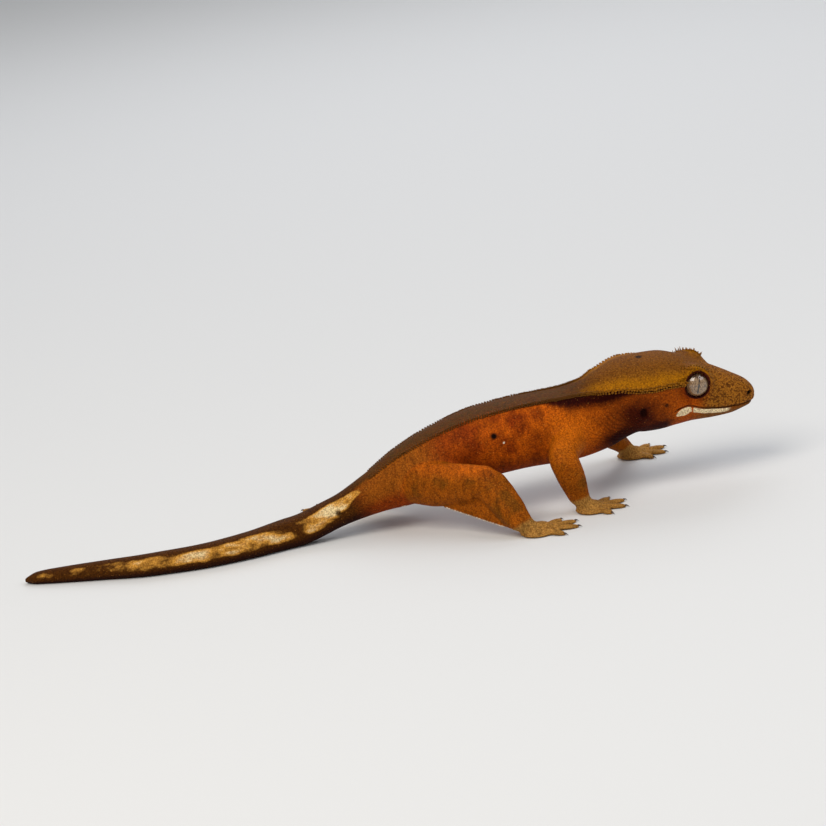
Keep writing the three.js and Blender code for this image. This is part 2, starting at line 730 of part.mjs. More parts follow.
// A hand or foot: the palm, the wrist or ankle that comes down to it, and five padded toes.
function footOf(end) {
  const palm = new THREE.Vector3(...end.palm, 0);
  const angle = THREE.MathUtils.degToRad(end.heading);
  const frame = {
    front: new THREE.Vector3(Math.cos(angle), Math.sin(angle), 0),
    left: new THREE.Vector3(-Math.sin(angle), Math.cos(angle), 0),
    up: new THREE.Vector3(0, 0, 1),
  };
  const place = palm.clone().setZ(palmHeight * 0.8);
  const pad = ellipsoid(frame, place, [end.palmLong, end.palmWide, palmHeight], 14, 6);
  const webPlace = palm.clone().addScaledVector(frame.front, 0.8).setZ(toeWebHeight * 0.7);
  const webSize = [end.palmLong + toeWebReach, end.palmWide + toeWebReach, toeWebHeight];
  const toeWeb = ellipsoid(frame, webPlace, webSize, 14, 4);
  const joint = new THREE.Vector3(...end.joint);
  const instep = {
    guide: upright,
    knots: [
      { at: joint.toArray(), thick: 2.3, across: 2.3 },
      { at: joint.clone().lerp(place, 0.5).setZ(joint.z * 0.62).toArray(), thick: 2.0, across: 2.4 },
      { at: place.toArray(), thick: 1.4, across: 2.5 },
    ],
  };
  const ankle = limbTube(instep, 0, ankleSides, ankleRings);
  const toes = end.toes.map(({ turn, length }) => toe(palm, end.heading + turn, length));
  return joined([pad, toeWeb, ankle, ...toes]);
}

const ground = solidOf(new THREE.BoxGeometry(400, 200, 20).translate(0, 0, -10));
const trunkGrown = bodyStretch(0, bodyLength, bodyRingStep, { grow: gap });

const model = new THREE.Group();

function addNode(name, solid, colour) {
  const whole = largest(solid.subtract(ground));
  const material = new THREE.MeshStandardMaterial({ color: colour, roughness: 0.7, metalness: 0 });
  const mesh = new THREE.Mesh(geometryOf(whole), material);
  mesh.name = name;
  model.add(mesh);
}

const { head, jaw } = headAndJaw();
addNode("head", head, colours.skin);
addNode("lower_jaw", jaw, colours.skin);
addNode("eye_right", eyeBall(-1, eyeRadius), colours.eye);
addNode("eye_left", eyeBall(1, eyeRadius), colours.eye);

for (const { name, from, to, step } of bodyParts) {
  const start = distanceTo(from);
  const end = distanceTo(to);
  const rearTrim = end < bodyLength ? gap / 2 : 0;
  const spineEnd = Math.min(end, distanceTo("vent"));
  const spines = [];
  if (spineEnd > start) {
    spines.push(...crestSpines(start + spineMargin, spineEnd - spineMargin, backSpineStep, crestHeight));
  }
  const colour = name.startsWith("tail") ? colours.tail : colours.dorsal;
  const stretch = bodyStretch(start, end, step, { frontTrim: gap / 2, rearTrim });
  addNode(name, joined([stretch, ...spines]), colour);
}

for (const limb of limbs) {
  const { side, kind, upper, lower, web, end } = limb;
  const label = (part) => part + "_" + side;
  addNode(label(upper.name), limbTube(upper).subtract(trunkGrown), colours.limb);
  let shank = limbTube(lower);
  if (web) shank = shank.add(kneeWeb(web));
  addNode(label(lower.name), shank.subtract(limbTube(upper, gap)).subtract(trunkGrown), colours.limb);
  let grown = limbTube(lower, gap);
  if (web) grown = grown.add(kneeWeb({ ...web, thickness: web.thickness + 2 * gap }));
  addNode(label(end.name), footOf(end).subtract(grown).subtract(limbTube(upper, gap)), colours.limb);
}

// The origin is at the middle of the model's footprint, at ground level.
const box = new THREE.Box3().setFromObject(model);
const middle = box.getCenter(new THREE.Vector3());
model.children.forEach((mesh) => mesh.position.set(-middle.x, -middle.y, 0));

export default model;
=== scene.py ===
"""Looks of the crested gecko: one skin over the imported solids, with eyes, spines, claws and markings.

Shapes are worked out in the design's millimetres, where the right heel stands at x = 0, y = -26, and are
moved into the row's frame and metres when a mesh is made.
"""

import json
import logging
import math
from collections.abc import Sequence
from dataclasses import dataclass, field
from enum import Enum

import bmesh
import bpy
import numpy as np
from mathutils import Matrix, Vector

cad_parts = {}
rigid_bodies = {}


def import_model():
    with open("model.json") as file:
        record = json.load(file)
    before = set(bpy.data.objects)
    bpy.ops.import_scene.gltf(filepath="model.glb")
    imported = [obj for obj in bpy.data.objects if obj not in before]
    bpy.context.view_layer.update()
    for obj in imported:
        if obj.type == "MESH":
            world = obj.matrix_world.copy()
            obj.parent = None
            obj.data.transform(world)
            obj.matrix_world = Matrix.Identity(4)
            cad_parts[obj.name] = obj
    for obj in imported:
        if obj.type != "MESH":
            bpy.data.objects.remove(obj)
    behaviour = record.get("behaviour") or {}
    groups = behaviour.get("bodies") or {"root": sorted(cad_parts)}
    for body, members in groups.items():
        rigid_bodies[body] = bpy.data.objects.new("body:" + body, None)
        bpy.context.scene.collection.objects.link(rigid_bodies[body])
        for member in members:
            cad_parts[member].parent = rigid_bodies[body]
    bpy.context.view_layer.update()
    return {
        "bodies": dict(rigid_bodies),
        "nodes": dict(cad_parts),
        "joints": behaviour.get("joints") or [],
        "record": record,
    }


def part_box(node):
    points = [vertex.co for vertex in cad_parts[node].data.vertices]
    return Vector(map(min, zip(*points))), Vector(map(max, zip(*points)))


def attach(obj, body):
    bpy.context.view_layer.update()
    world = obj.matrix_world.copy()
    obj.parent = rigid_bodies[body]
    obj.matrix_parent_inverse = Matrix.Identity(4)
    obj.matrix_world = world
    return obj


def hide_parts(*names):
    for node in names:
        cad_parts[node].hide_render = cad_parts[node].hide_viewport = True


log = logging.getLogger("gecko")

MILLIMETRE = 0.001
UPRIGHT = np.array([0.0, 0.0, 1.0])
FORWARD = np.array([1.0, 0.0, 0.0])
Point = tuple[float, float, float]
Socket = bpy.types.NodeSocket


class Side(Enum):
    """The two sides of the animal, as the sign of the leftward direction."""

    RIGHT = -1
    LEFT = 1


def smooth(low: float, high: float, values: np.ndarray) -> np.ndarray:
    """Eases from 0 to 1 as the values pass from low to high, which may be below low."""
    share = np.clip((values - low) / (high - low), 0.0, 1.0)
    return share * share * (3.0 - 2.0 * share)


def bump_at(values: np.ndarray, centre: float, width: float) -> np.ndarray:
    """A bell curve of height 1, which falls to about a third at its width from the centre."""
    return np.exp(-(((values - centre) / width) ** 2))


def unit(vectors: np.ndarray) -> np.ndarray:
    """Scales vectors to length 1."""
    return vectors / np.maximum(np.linalg.norm(vectors, axis=-1, keepdims=True), 1e-9)


def heading(degrees: float) -> tuple[np.ndarray, np.ndarray]:
    """The level direction at a turn from +X towards +Y, and the one to its left."""
    x, y = math.cos(math.radians(degrees)), math.sin(math.radians(degrees))
    return np.array([x, y, 0.0]), np.array([-y, x, 0.0])


def ring(count: int, first: Sequence[float], second: Sequence[float]) -> np.ndarray:
    """Points of an ellipse round the origin, from its two half axes as vectors."""
    turn = np.linspace(0, 2 * np.pi, count, endpoint=False)
    return np.outer(np.cos(turn), first) + np.outer(np.sin(turn), second)


def linear(hex_colour: int) -> tuple[float, ...]:
    """Turns an sRGB colour into the linear values that shader sockets take.

    Args:
        hex_colour: Colour as 0xRRGGBB.

    Returns:
        Linear red, green and blue, and an opacity of 1.
    """
    values = np.array([(hex_colour >> shift) & 0xFF for shift in (16, 8, 0)]) / 255.0
    curved = np.where(values <= 0.04045, values / 12.92, ((values + 0.055) / 1.055) ** 2.4)
    return (*curved.tolist(), 1.0)


def read(items: bpy.types.bpy_prop_collection, key: str, width: int, kind: type = np.float32) -> np.ndarray:
    """Reads a property of every item of a mesh.

    Args:
        items: Vertices, edges or loops.
        key: The property.
        width: Numbers per item.
        kind: Type of the numbers.

    Returns:
        One row per item.
    """
    flat = np.empty(len(items) * width, kind)
    items.foreach_get(key, flat)
    return flat.reshape(-1, width)


def store(obj: bpy.types.Object, name: str, values: Sequence[float]) -> None:
    """Stores one number per vertex under a name."""
    made = obj.data.attributes.new(name, "FLOAT", "POINT")
    made.data.foreach_set("value", np.asarray(values, np.float32))


def linked(
    name: str, data: bpy.types.ID, axes: Sequence[np.ndarray] = np.eye(3), place: Sequence[float] = (0, 0, 0)
) -> bpy.types.Object:
    """Adds an object to the scene.

    Args:
        name: Its name.
        data: Its mesh, camera or light.
        axes: Directions of its own x, y and z.
        place: Its place in metres.

    Returns:
        The object.
    """
    obj = bpy.data.objects.new(name, data)
    bpy.context.scene.collection.objects.link(obj)
    obj.matrix_world = Matrix.Translation(Vector(place)) @ Matrix(np.stack(axes, axis=1).tolist()).to_4x4()
    return obj


@dataclass(frozen=True)
class Section:
    """One cross-section of the body, in millimetres and degrees."""

    name: str
    centre: Point
    wide: float
    up: float
    down: float
    crest: float = 54
    rise: float = 0.0
    roll: float = 0


SECTIONS = (
    Section("snout tip", (63.8, 2.5, 19.0), 0.5, 0.5, 0.5, 40, 0.0, 8),
    Section("snout front", (63.2, 2.4, 19.1), 1.9, 1.7, 1.8, 40, 0.0, 8),
    Section("nostrils", (61.8, 2.4, 19.5), 3.3, 2.9, 3.2, 40, 0.0, 8),
    Section("snout", (59.8, 2.25, 19.8), 4.4, 4.0, 4.3, 42, 0.1, 8),
    Section("muzzle", (57.4, 2.05, 20.4), 5.2, 4.8, 5.4, 44, 0.2, 8),
    Section("eye front", (53.3, 1.7, 21.4), 6.4, 6.1, 6.5, 46, 0.3, 8),
    Section("eyes", (48.6, 1.3, 22.6), 7.6, 7.4, 7.5, 43, 1.0, 8),
    Section("eye back", (44.4, 1.0, 23.6), 8.8, 8.6, 8.7, 26, 0.8, 9),
    Section("temples", (39.5, 0.6, 24.4), 9.5, 9.2, 9.7, 26, 0.8, 13),
    Section("occiput", (32.8, 0.2, 24.5), 8.9, 9.24, 9.8, 33, 1.0, 18),
    Section("nape", (28.0, 0.0, 23.1), 7.7, 8.9, 9.7, 43, 0.9, 15),
    Section("neck", (23.0, 0.0, 21.2), 7.1, 8.4, 9.9, 56, 0.7, 9),
    Section("shoulders", (15.0, 0.0, 19.8), 8.0, 8.4, 9.6, 61, 0.6, 4),
    Section("chest", (6.0, 0.0, 19.6), 8.9, 8.4, 9.2, 59, 0.5, 1),
    Section("belly", (-4.0, 0.0, 18.8), 9.2, 8.4, 9.1, 56, 0.5),
    Section("loin", (-15.0, 0.0, 16.4), 8.6, 7.9, 8.3, 56, 0.45),
    Section("hips", (-25.0, 0.0, 13.3), 7.3, 6.8, 7.7, 56, 0.4),
    Section("vent", (-34.0, 0.0, 10.1), 5.5, 4.9, 5.5, 56, 0.2),
    Section("tail root", (-44.0, -0.2, 6.5), 4.4, 3.8, 3.9),
    Section("tail lands", (-55.0, -1.5, 3.6), 4.0, 3.8, 3.7),
    Section("tail swell", (-67.0, -5.2, 3.1), 3.5, 3.3, 3.2),
    Section("tail bend", (-79.0, -7.0, 2.8), 3.2, 3.0, 2.95),
    Section("tail half", (-91.0, -6.2, 2.6), 3.0, 2.8, 2.75),
    Section("tail rear", (-102.5, -3.0, 2.2), 2.7, 2.4, 2.4),
    Section("tail end", (-114.0, 0.4, 1.75), 2.3, 1.95, 1.9),
    Section("tail pad", (-120.5, 2.6, 1.35), 2.0, 1.5, 1.5),
    Section("tail tip", (-123.8, 3.8, 0.8), 0.7, 0.5, 0.5),
)


@dataclass(frozen=True)
class Knot:
    """A point of a limb's axis, with its half thickness along the limb's guide and across it."""

    at: Point
    thick: float
    across: float


@dataclass(frozen=True)
class Toe:
    """A toe's turn from the foot's heading, in degrees, and its length."""

    turn: float
    length: float


@dataclass(frozen=True)
class Foot:
    """A hand or foot: its joint, palm, heading and toes."""

    joint: Point
    palm: tuple[float, float]
    palm_long: float
    palm_wide: float
    heading: float
    toes: tuple[Toe, ...]
    toe_start: float = 1.9

    def above(self, height: float) -> np.ndarray:
        """The point at a height above the floor on the palm's middle line."""
        return np.array([*self.palm, height])


@dataclass(frozen=True)
class Limb:
    """One leg: two tubes, a foot and, on the bent knee, a web of skin."""

    upper: tuple[Knot, ...]
    lower: tuple[Knot, ...]
    lower_guide: Point
    foot: Foot
    web: tuple[Point, ...] = ()


def knots(*rows: tuple[float, ...]) -> tuple[Knot, ...]:
    """Knots from rows of x, y, z and the two half thicknesses."""
    return tuple(Knot(row[:3], *row[3:]) for row in rows)


def toes(*rows: tuple[float, float]) -> tuple[Toe, ...]:
    """Toes from pairs of turn and length."""
    return tuple(Toe(*row) for row in rows)


LIMBS = {
    "right arm": Limb(
        knots(
            (17.4, -3.2, 17.4, 4.8, 4.2),
            (15.6, -7.6, 16.5, 4.4, 3.9),
            (13.8, -11.4, 15.2, 4.0, 3.6),
            (12.9, -13.8, 14.2, 3.5, 3.2),
        ),
        knots(
            (13.6, -14.6, 14.4, 3.8, 3.3),
            (14.5, -14.5, 11.0, 3.6, 3.1),
            (15.4, -14.0, 7.2, 3.2, 2.6),
            (16.1, -13.6, 3.8, 2.8, 2.2),
        ),
        (1.0, 0.0, 0.0),
        Foot(
            (16.1, -13.6, 3.9), (18.3, -13.0), 3.3, 3.1, 16,
            toes((72, 5.4), (37, 7.0), (5, 7.6), (-28, 7.1), (-66, 5.8)),
        ),
    ),
    "left arm": Limb(
        knots(
            (17.5, 3.5, 18.2, 5.0, 4.3),
            (20.0, 9.0, 17.0, 4.5, 4.0),
            (22.6, 14.2, 14.8, 3.9, 3.6),
            (24.4, 17.8, 12.6, 3.4, 3.2),
        ),
        knots(
            (24.3, 17.6, 12.7, 3.4, 3.3),
            (26.4, 20.6, 9.8, 3.3, 3.1),
            (28.8, 23.8, 6.6, 2.8, 2.7),
            (30.8, 26.4, 3.9, 2.3, 2.4),
        ),
        (0.0, 0.0, 1.0),
        Foot(
            (30.8, 26.4, 3.9), (32.8, 28.3), 3.3, 3.1, 26,
            toes((-70, 5.4), (-37, 7.0), (-5, 7.6), (28, 7.1), (66, 5.8)),
        ),
    ),
    "right leg": Limb(
        knots(
            (-24.0, -3.0, 12.2, 5.8, 5.0),
            (-19.0, -8.4, 12.0, 5.7, 4.7),
            (-12.4, -13.4, 12.3, 5.3, 4.2),
            (-5.4, -17.4, 12.7, 4.2, 3.8),
        ),
        knots(
            (-5.2, -17.8, 12.4, 4.2, 3.7),
            (-3.2, -20.4, 9.3, 4.1, 3.3),
            (-0.9, -23.4, 6.0, 3.6, 2.8),
            (0.8, -25.4, 3.5, 3.0, 2.4),
        ),
        (1.0, 0.0, 0.0),
        Foot(
            (0.9, -25.5, 3.5), (4.2, -24.4), 4.0, 3.2, 22,
            toes((56, 5.6), (26, 7.8), (0, 8.8), (-26, 8.4), (-62, 6.6)),
        ),
        ((-17.2, -12.4, 6.7), (-0.9, -25.7, 1.7), (-4.6, -18.6, 11.5)),
    ),
    "left leg": Limb(
        knots(
            (-18.5, 2.8, 13.0, 5.6, 5.0),
            (-23.5, 8.2, 11.3, 5.0, 4.6),
            (-29.0, 12.8, 8.9, 4.3, 4.1),
            (-33.6, 16.2, 6.7, 3.7, 3.7),
        ),
        knots(
            (-33.3, 16.0, 6.8, 3.6, 3.7),
            (-37.4, 17.0, 5.4, 3.3, 3.4),
            (-41.2, 17.8, 4.1, 2.7, 2.9),
            (-44.0, 18.4, 3.1, 2.3, 2.5),
        ),
        (0.0, 0.0, 1.0),
        Foot(
            (-44.1, 18.4, 3.1), (-46.0, 20.6), 3.6, 3.2, 112,
            toes((-62, 6.0), (-30, 7.4), (-2, 7.8), (26, 7.6), (58, 6.2)),
        ),
    ),
}


@dataclass
class Places:
    """Where points lie on the body: distance from the snout, angle, offsets and height off the skin."""

    along: np.ndarray
    angle: np.ndarray
    above: np.ndarray
    outside: np.ndarray


@dataclass
class BodyLine:
    """The body's axis and the size of its section at any distance from the snout tip."""

    squareness: float = 2.35
    crest_spread: float = 10.0
    turn_reach: float = 3.5
    step: float = 0.1
    search_step: float = 0.8
    search_block: int = 20000
    spur_place: tuple[float, float] = (4.2, -66.0)
    sections: Sequence[Section] = SECTIONS

    def __post_init__(self) -> None:
        """Works out the curves through the sections and the directions along them."""
        centres = np.array([s.centre for s in self.sections])
        gaps = np.linalg.norm(np.diff(centres, axis=0), axis=1)
        self.distances = np.concatenate([[0.0], np.cumsum(gaps)])
        self.length = float(self.distances[-1])
        self.samples = np.arange(0.0, self.length + self.step, self.step)
        columns = dict(zip("xyz", centres.T))
        for name in ("wide", "up", "down", "crest", "rise", "roll"):
            columns[name] = np.array([float(getattr(s, name)) for s in self.sections])
        self.tables = {name: self.curve(values) for name, values in columns.items()}
        behind = self.centre(self.samples + self.turn_reach)
        front = unit(self.centre(self.samples - self.turn_reach) - behind)
        left = unit(np.cross(UPRIGHT, front))
        up = np.cross(front, left)
        roll = np.radians(self.tables["roll"])[:, None]
        sine, cosine = np.sin(roll), np.cos(roll)
        self.frames = (front, left * cosine + up * sine, up * cosine - left * sine)

    def curve(self, values: np.ndarray) -> np.ndarray:
        """A smooth curve through the sections' values that never overshoots them.

        Args:
            values: One number per section.

        Returns:
            One number per sample.
        """
        spans = np.diff(self.distances)
        rates = np.diff(values) / spans
        before, after = rates[:-1], rates[1:]
        total = np.where(before + after == 0.0, 1.0, before + after)
        inner = np.where(before * after <= 0.0, 0.0, 2.0 * before * after / total)
        slopes = np.concatenate([rates[:1], inner, rates[-1:]])
        s = np.clip(self.samples, 0.0, self.length)
        i = np.clip(np.searchsorted(self.distances, s, side="right") - 1, 0, len(spans) - 1)
        t = (s - self.distances[i]) / spans[i]
        start = (1 + 2 * t) * (1 - t) ** 2 * values[i] + t * (1 - t) ** 2 * spans[i] * slopes[i]
        end = t * t * (3 - 2 * t) * values[i + 1] + t * t * (t - 1) * spans[i] * slopes[i + 1]
        return start + end

    def value(self, name: str, along: np.ndarray | float) -> np.ndarray:
        """One of the sections' numbers, such as "wide", at distances from the snout tip."""
        return np.interp(along, self.samples, self.tables[name])

    def distance_to(self, name: str) -> float:
        """Distance from the snout tip to a named section."""
        return float(self.distances[[s.name for s in self.sections].index(name)])

    def centre(self, along: np.ndarray | float) -> np.ndarray:
        """Points of the axis at distances from the snout tip."""
        return np.stack([self.value(name, along) for name in "xyz"], axis=-1)

    def directions(self, along: np.ndarray | float) -> tuple[np.ndarray, ...]:
        """The sections' forward, left and upward directions at distances from the snout tip."""
        i = np.clip(np.rint(np.asarray(along) / self.step).astype(int), 0, len(self.samples) - 1)
        return tuple(frame[i] for frame in self.frames)

    def placed(self, along: float, front: float, left: float, up: float) -> np.ndarray:
        """A point given by its offsets from a section's centre in the section's own directions."""
        ahead, leftward, upward = self.directions(along)
        return self.centre(along) + front * ahead + left * leftward + up * upward

    def skin(self, along: np.ndarray, degrees: np.ndarray, side: int) -> np.ndarray:
        """Points on the skin.

        Args:
            along: Distances from the snout tip.
            degrees: Angles above the level of the section's centre.
            side: 1 for the left side and -1 for the right.

        Returns:
            Points in design millimetres.
        """
        along, degrees = np.broadcast_arrays(along, degrees)
        angle = np.radians(degrees)
        power = 2.0 / self.squareness
        tall = np.where(degrees > 0, self.value("up", along), -self.value("down", along))
        offset = (degrees - self.value("crest", along)) / self.crest_spread
        ridge = 1 + self.value("rise", along) * np.exp(-offset * offset) / np.abs(tall)
        out = side * self.value("wide", along) * np.abs(np.cos(angle)) ** power * ridge
        high = tall * np.abs(np.sin(angle)) ** power * ridge
        _, left, up = self.directions(along)
        return self.centre(along) + out[..., None] * left + high[..., None] * up

    def skin_normal(self, along: float, degrees: float, side: int) -> np.ndarray:
        """The skin's outward direction at one point.

        Args:
            along: Distance from the snout tip.
            degrees: Angle above the level of the section's centre.
            side: 1 for the left side and -1 for the right.

        Returns:
            A unit vector.
        """
        lengthwise = self.skin(along - 0.5, degrees, side) - self.skin(along + 0.5, degrees, side)
        roundwise = self.skin(along, degrees + 4.0, side) - self.skin(along, degrees - 4.0, side)
        return unit(side * np.cross(lengthwise, roundwise))

    def spur(self) -> np.ndarray:
        """The middle of the pale spur below the root of the tail."""
        place = (self.distance_to("hips") + self.spur_place[0], self.spur_place[1], Side.RIGHT.value)
        return self.skin(*place) + 0.35 * self.skin_normal(*place)

    def locate(self, points: np.ndarray) -> Places:
        """Finds where points lie relative to the body.

        Args:
            points: Points in design millimetres.

        Returns:
            Their places.
        """
        coarse = np.arange(0.0, self.length, self.search_step)
        axis = self.centre(coarse)
        nearest = np.empty(len(points), int)
        for start in range(0, len(points), self.search_block):
            block = slice(start, start + self.search_block)
            nearest[block] = ((axis * axis).sum(1)[None, :] - 2.0 * points[block] @ axis.T).argmin(1)
        along = coarse[nearest]
        for _ in range(4):
            step = ((points - self.centre(along)) * self.directions(along)[0]).sum(1)
            along = np.clip(along - 0.8 * step, 0.0, self.length)
        _, left, up = self.directions(along)
        offset = points - self.centre(along)
        aside = (offset * left).sum(1)
        above = (offset * up).sum(1)
        across = np.abs(aside) / self.value("wide", along)
        high = np.abs(above) / np.where(above > 0, self.value("up", along), self.value("down", along))
        half = self.squareness / 2.0
        angle = np.degrees(np.arctan2(high**half, across**half)) * np.sign(above)
        ratio = (across**self.squareness + high**self.squareness) ** (1.0 / self.squareness)
        outside = np.hypot(aside, above) * (1 - 1 / np.maximum(ratio, 0.2))
        return Places(along, angle, above, outside)


@dataclass(frozen=True)
class Opening:
    """A nostril or an ear: its section, its height there, its half length and height, and how dark the
    painted shade inside it is.
    """

    along: float
    up: float
    long: float
    high: float
    dark: float


@dataclass
class Head:
    """Sizes and places of the head's features, in millimetres and degrees."""

    line: BodyLine
    eye_radius: float = 3.3
    eye_place: Point = (-0.5, 5.0, 3.6)
    lid_wide: float = 2.7
    lid_high: float = 3.12
    brow_reach: float = 4.1
    brow_width: float = 2.7
    brow_height: float = 2.4
    brow_place: Point = (-1.4, 4.5, 6.1)
    brow_base: Point = (4.6, 3.4, 2.3)
    brow_base_place: Point = (-2.2, 2.6, 5.3)
    saddle_place: Point = (-1.6, 0.0, 7.6)
    nostril_radius: float = 0.5
    nostril_up: float = 0.9
    ear_ahead: float = 1.8
    ear_drop: float = 0.8
    ear_high: float = 1.3
    ear_long: float = 0.75
    mouth: tuple[tuple[float, float], ...] = (
        (-2.0, -1.5), (2.5, -1.6), (8.5, -2.3), (13.5, -2.3), (18.0, -1.6), (20.0, -1.75), (21.8, -2.6),
    )

    def __post_init__(self) -> None:
        """Finds the sections of the eyes, nostrils and ears."""
        self.eyes = self.line.distance_to("eyes")
        self.front, self.left, self.up = self.line.directions(self.eyes)
        self.corner = self.mouth[-1][0]
        self.ear = self.line.distance_to("occiput") - self.ear_ahead
        nose = self.line.distance_to("nostrils")
        self.nostril = Opening(nose, self.nostril_up, self.nostril_radius, self.nostril_radius, 1.0)
        self.ear_pit = Opening(self.ear, -self.ear_drop, self.ear_long, self.ear_high, 0.55)

    def at_eyes(self, place: Point, side: Side) -> np.ndarray:
        """A point given by offsets forward, outward and up from the centre of the eyes' section."""
        return self.line.placed(self.eyes, place[0], side.value * place[1], place[2])

    def mouth_level(self, along: np.ndarray) -> np.ndarray:
        """Height of the mouth line at distances from the snout tip."""
        return np.interp(along, *zip(*self.mouth))

    def from_eye(self, points: np.ndarray, side: Side) -> tuple[np.ndarray, ...]:
        """Where points lie as seen from an eye.

        Args:
            points: Points in design millimetres.
            side: Which eye.

        Returns:
            Offsets forward, up and outward, and the share of the lids' ellipse, which is 1 on its edge.
        """
        offset = points - self.at_eyes(self.eye_place, side)
        ahead = offset @ self.front
        above = offset @ self.up
        out = offset @ self.left * side.value
        return ahead, above, out, np.hypot(ahead / self.lid_wide, above / self.lid_high)

    def from_opening(
        self, points: np.ndarray, opening: Opening, side: Side, front: float = 0.0
    ) -> tuple[np.ndarray, np.ndarray]:
        """Where points lie as seen from a nostril or an ear.

        Args:
            points: Points in design millimetres.
            opening: Which of the two.
            side: On which side.
            front: How far forward of its section the opening lies.

        Returns:
            The share of its ellipse, which is 1 on its edge, and the distance to the side.
        """
        ahead, left, up = self.line.directions(opening.along)
        out = 0.9 * side.value * float(self.line.value("wide", opening.along))
        offset = points - self.line.placed(opening.along, front, out, opening.up)
        return np.hypot(offset @ ahead / opening.long, offset @ up / opening.high), np.abs(offset @ left)


@dataclass
class MeshParts:
    """Vertices and faces gathered from several closed shapes."""

    points: list[np.ndarray] = field(default_factory=list)
    faces: list[tuple[int, ...]] = field(default_factory=list)
    count: int = 0

    def loft(self, rings: Sequence[np.ndarray], tip: np.ndarray | None = None) -> None:
        """Adds a closed skin through rings of equally many points.

        Args:
            rings: Arrays of points, all turning the same way.
            tip: The point that ends it, if not the middle of the last ring.
        """
        sides = len(rings[0])
        last = (len(rings) - 1) * sides
        root = last + sides
        top = rings[-1].mean(0) if tip is None else tip
        faces: list[tuple[int, ...]] = []
        for i in range(sides):
            j = (i + 1) % sides
            faces.extend((r + i, r + j, r + sides + j, r + sides + i) for r in range(0, last, sides))
            faces.append((root, j, i))
            faces.append((root + 1, last + i, last + j))
        self.faces.extend(tuple(i + self.count for i in face) for face in faces)
        self.points.append(np.concatenate([*rings, [rings[0].mean(0)], [top]]))
        self.count += root + 2

    def ellipsoid(self, centre: np.ndarray, axes: Sequence[np.ndarray], rows: int = 12) -> None:
        """Adds an ellipsoid.

        Args:
            centre: Its centre.
            axes: Its three half axes as vectors.
            rows: Number of bands between its poles.
        """
        rings = []
        for tilt in np.linspace(-np.pi / 2, np.pi / 2, rows + 1)[1:-1]:
            round_way = math.cos(tilt) * ring(2 * rows, axes[0], axes[1])
            rings.append(centre + round_way + math.sin(tilt) * np.asarray(axes[2]))
        self.loft(rings)

    def build(self, name: str, shift: np.ndarray) -> bpy.types.Object:
        """Makes an object of the gathered shapes.

        Args:
            name: The object's name.
            shift: What is added to design millimetres to reach the row's frame.

        Returns:
            The object, with outward normals.
        """
        mesh = bpy.data.meshes.new(name)
        points = (np.concatenate(self.points) + shift) * MILLIMETRE
        mesh.from_pydata(points.tolist(), [], self.faces)
        mesh.update()
        shape = bmesh.new()
        shape.from_mesh(mesh)
        bmesh.ops.recalc_face_normals(shape, faces=shape.faces)
        shape.to_mesh(mesh)
        shape.free()
        mesh.shade_smooth()
        return linked(name, mesh)


def spline(points: np.ndarray, count: int) -> tuple[np.ndarray, np.ndarray]:
    """A smooth curve through points, with its directions.

    Args:
        points: The points.
        count: Number of points on the curve.

    Returns:
        Points and unit directions.
    """
    ends = np.concatenate([[2 * points[0] - points[1]], points, [2 * points[-1] - points[-2]]])
    shares = np.linspace(0, len(points) - 1 - 1e-6, count)
    i = shares.astype(int)
    t = (shares - i)[:, None]
    a, b, c, d = ends[i], ends[i + 1], ends[i + 2], ends[i + 3]
    square = 2 * a - 5 * b + 4 * c - d
    cube = 3 * b - a - 3 * c + d
    curve = 0.5 * (2 * b + (c - a) * t + square * t**2 + cube * t**3)
    return curve, unit(0.5 * ((c - a) + 2 * square * t + 3 * cube * t**2))


class SkinMesh:
    """The skin's vertices in design millimetres."""

    def __init__(self, obj: bpy.types.Object, shift: np.ndarray) -> None:
        """Reads the vertices and edges.

        Args:
            obj: The skin, in the row's frame.
            shift: What is added to design millimetres to reach that frame.
        """
        self.obj = obj
        self.shift = shift
        self.points = read(obj.data.vertices, "co", 3).astype(float) / MILLIMETRE - shift
        self.normals = read(obj.data.vertices, "normal", 3).astype(float)
        self.edges = read(obj.data.edges, "vertices", 2, np.int32)
        self.degree = np.maximum(np.bincount(self.edges.ravel(), minlength=len(self.points)), 1)

    def distance(self, place: Sequence[float]) -> np.ndarray:
        """Each vertex's distance from a point."""
        return np.linalg.norm(self.points - np.asarray(place), axis=1)

    def relax(self, rounds: int, weights: np.ndarray) -> None:
        """Moves vertices towards the mean of their neighbours.

        Args:
            rounds: How many times.
            weights: Share of the way for each vertex.
        """
        a, b = self.edges.T
        count = len(weights)
        for _ in range(rounds):
            for values in self.points.T:
                total = np.bincount(a, values[b], count) + np.bincount(b, values[a], count)
                values += weights * (total / self.degree - values)

    def write(self) -> None:
        """Stores the vertices in the mesh and reads its normals again."""
        mesh = self.obj.data
        flat = ((self.points + self.shift) * MILLIMETRE).astype(np.float32).ravel()
        mesh.vertices.foreach_set("co", flat)
        mesh.update()
        self.normals = read(mesh.vertices, "normal", 3).astype(float)


def neck_creases(places: Places) -> np.ndarray:
    """The creases where the neck bends into the shoulder.

    Args:
        places: Where the skin's vertices lie.

    Returns:
        1 along the middle of a crease and 0 away from them.
    """
    zone = smooth(29.0, 33.0, places.along) * smooth(46.0, 39.0, places.along)
    zone *= smooth(14.0, -6.0, places.angle) * smooth(2.5, 0.8, places.outside)
    waver = 0.5 * np.sin(places.angle * 0.13) + 0.35 * np.sin(places.along * 1.1 + places.angle * 0.05)
    wave = np.sin(5.4 * (places.along - 0.11 * places.angle + waver))
    return zone * smooth(0.25, 1.0, wave)


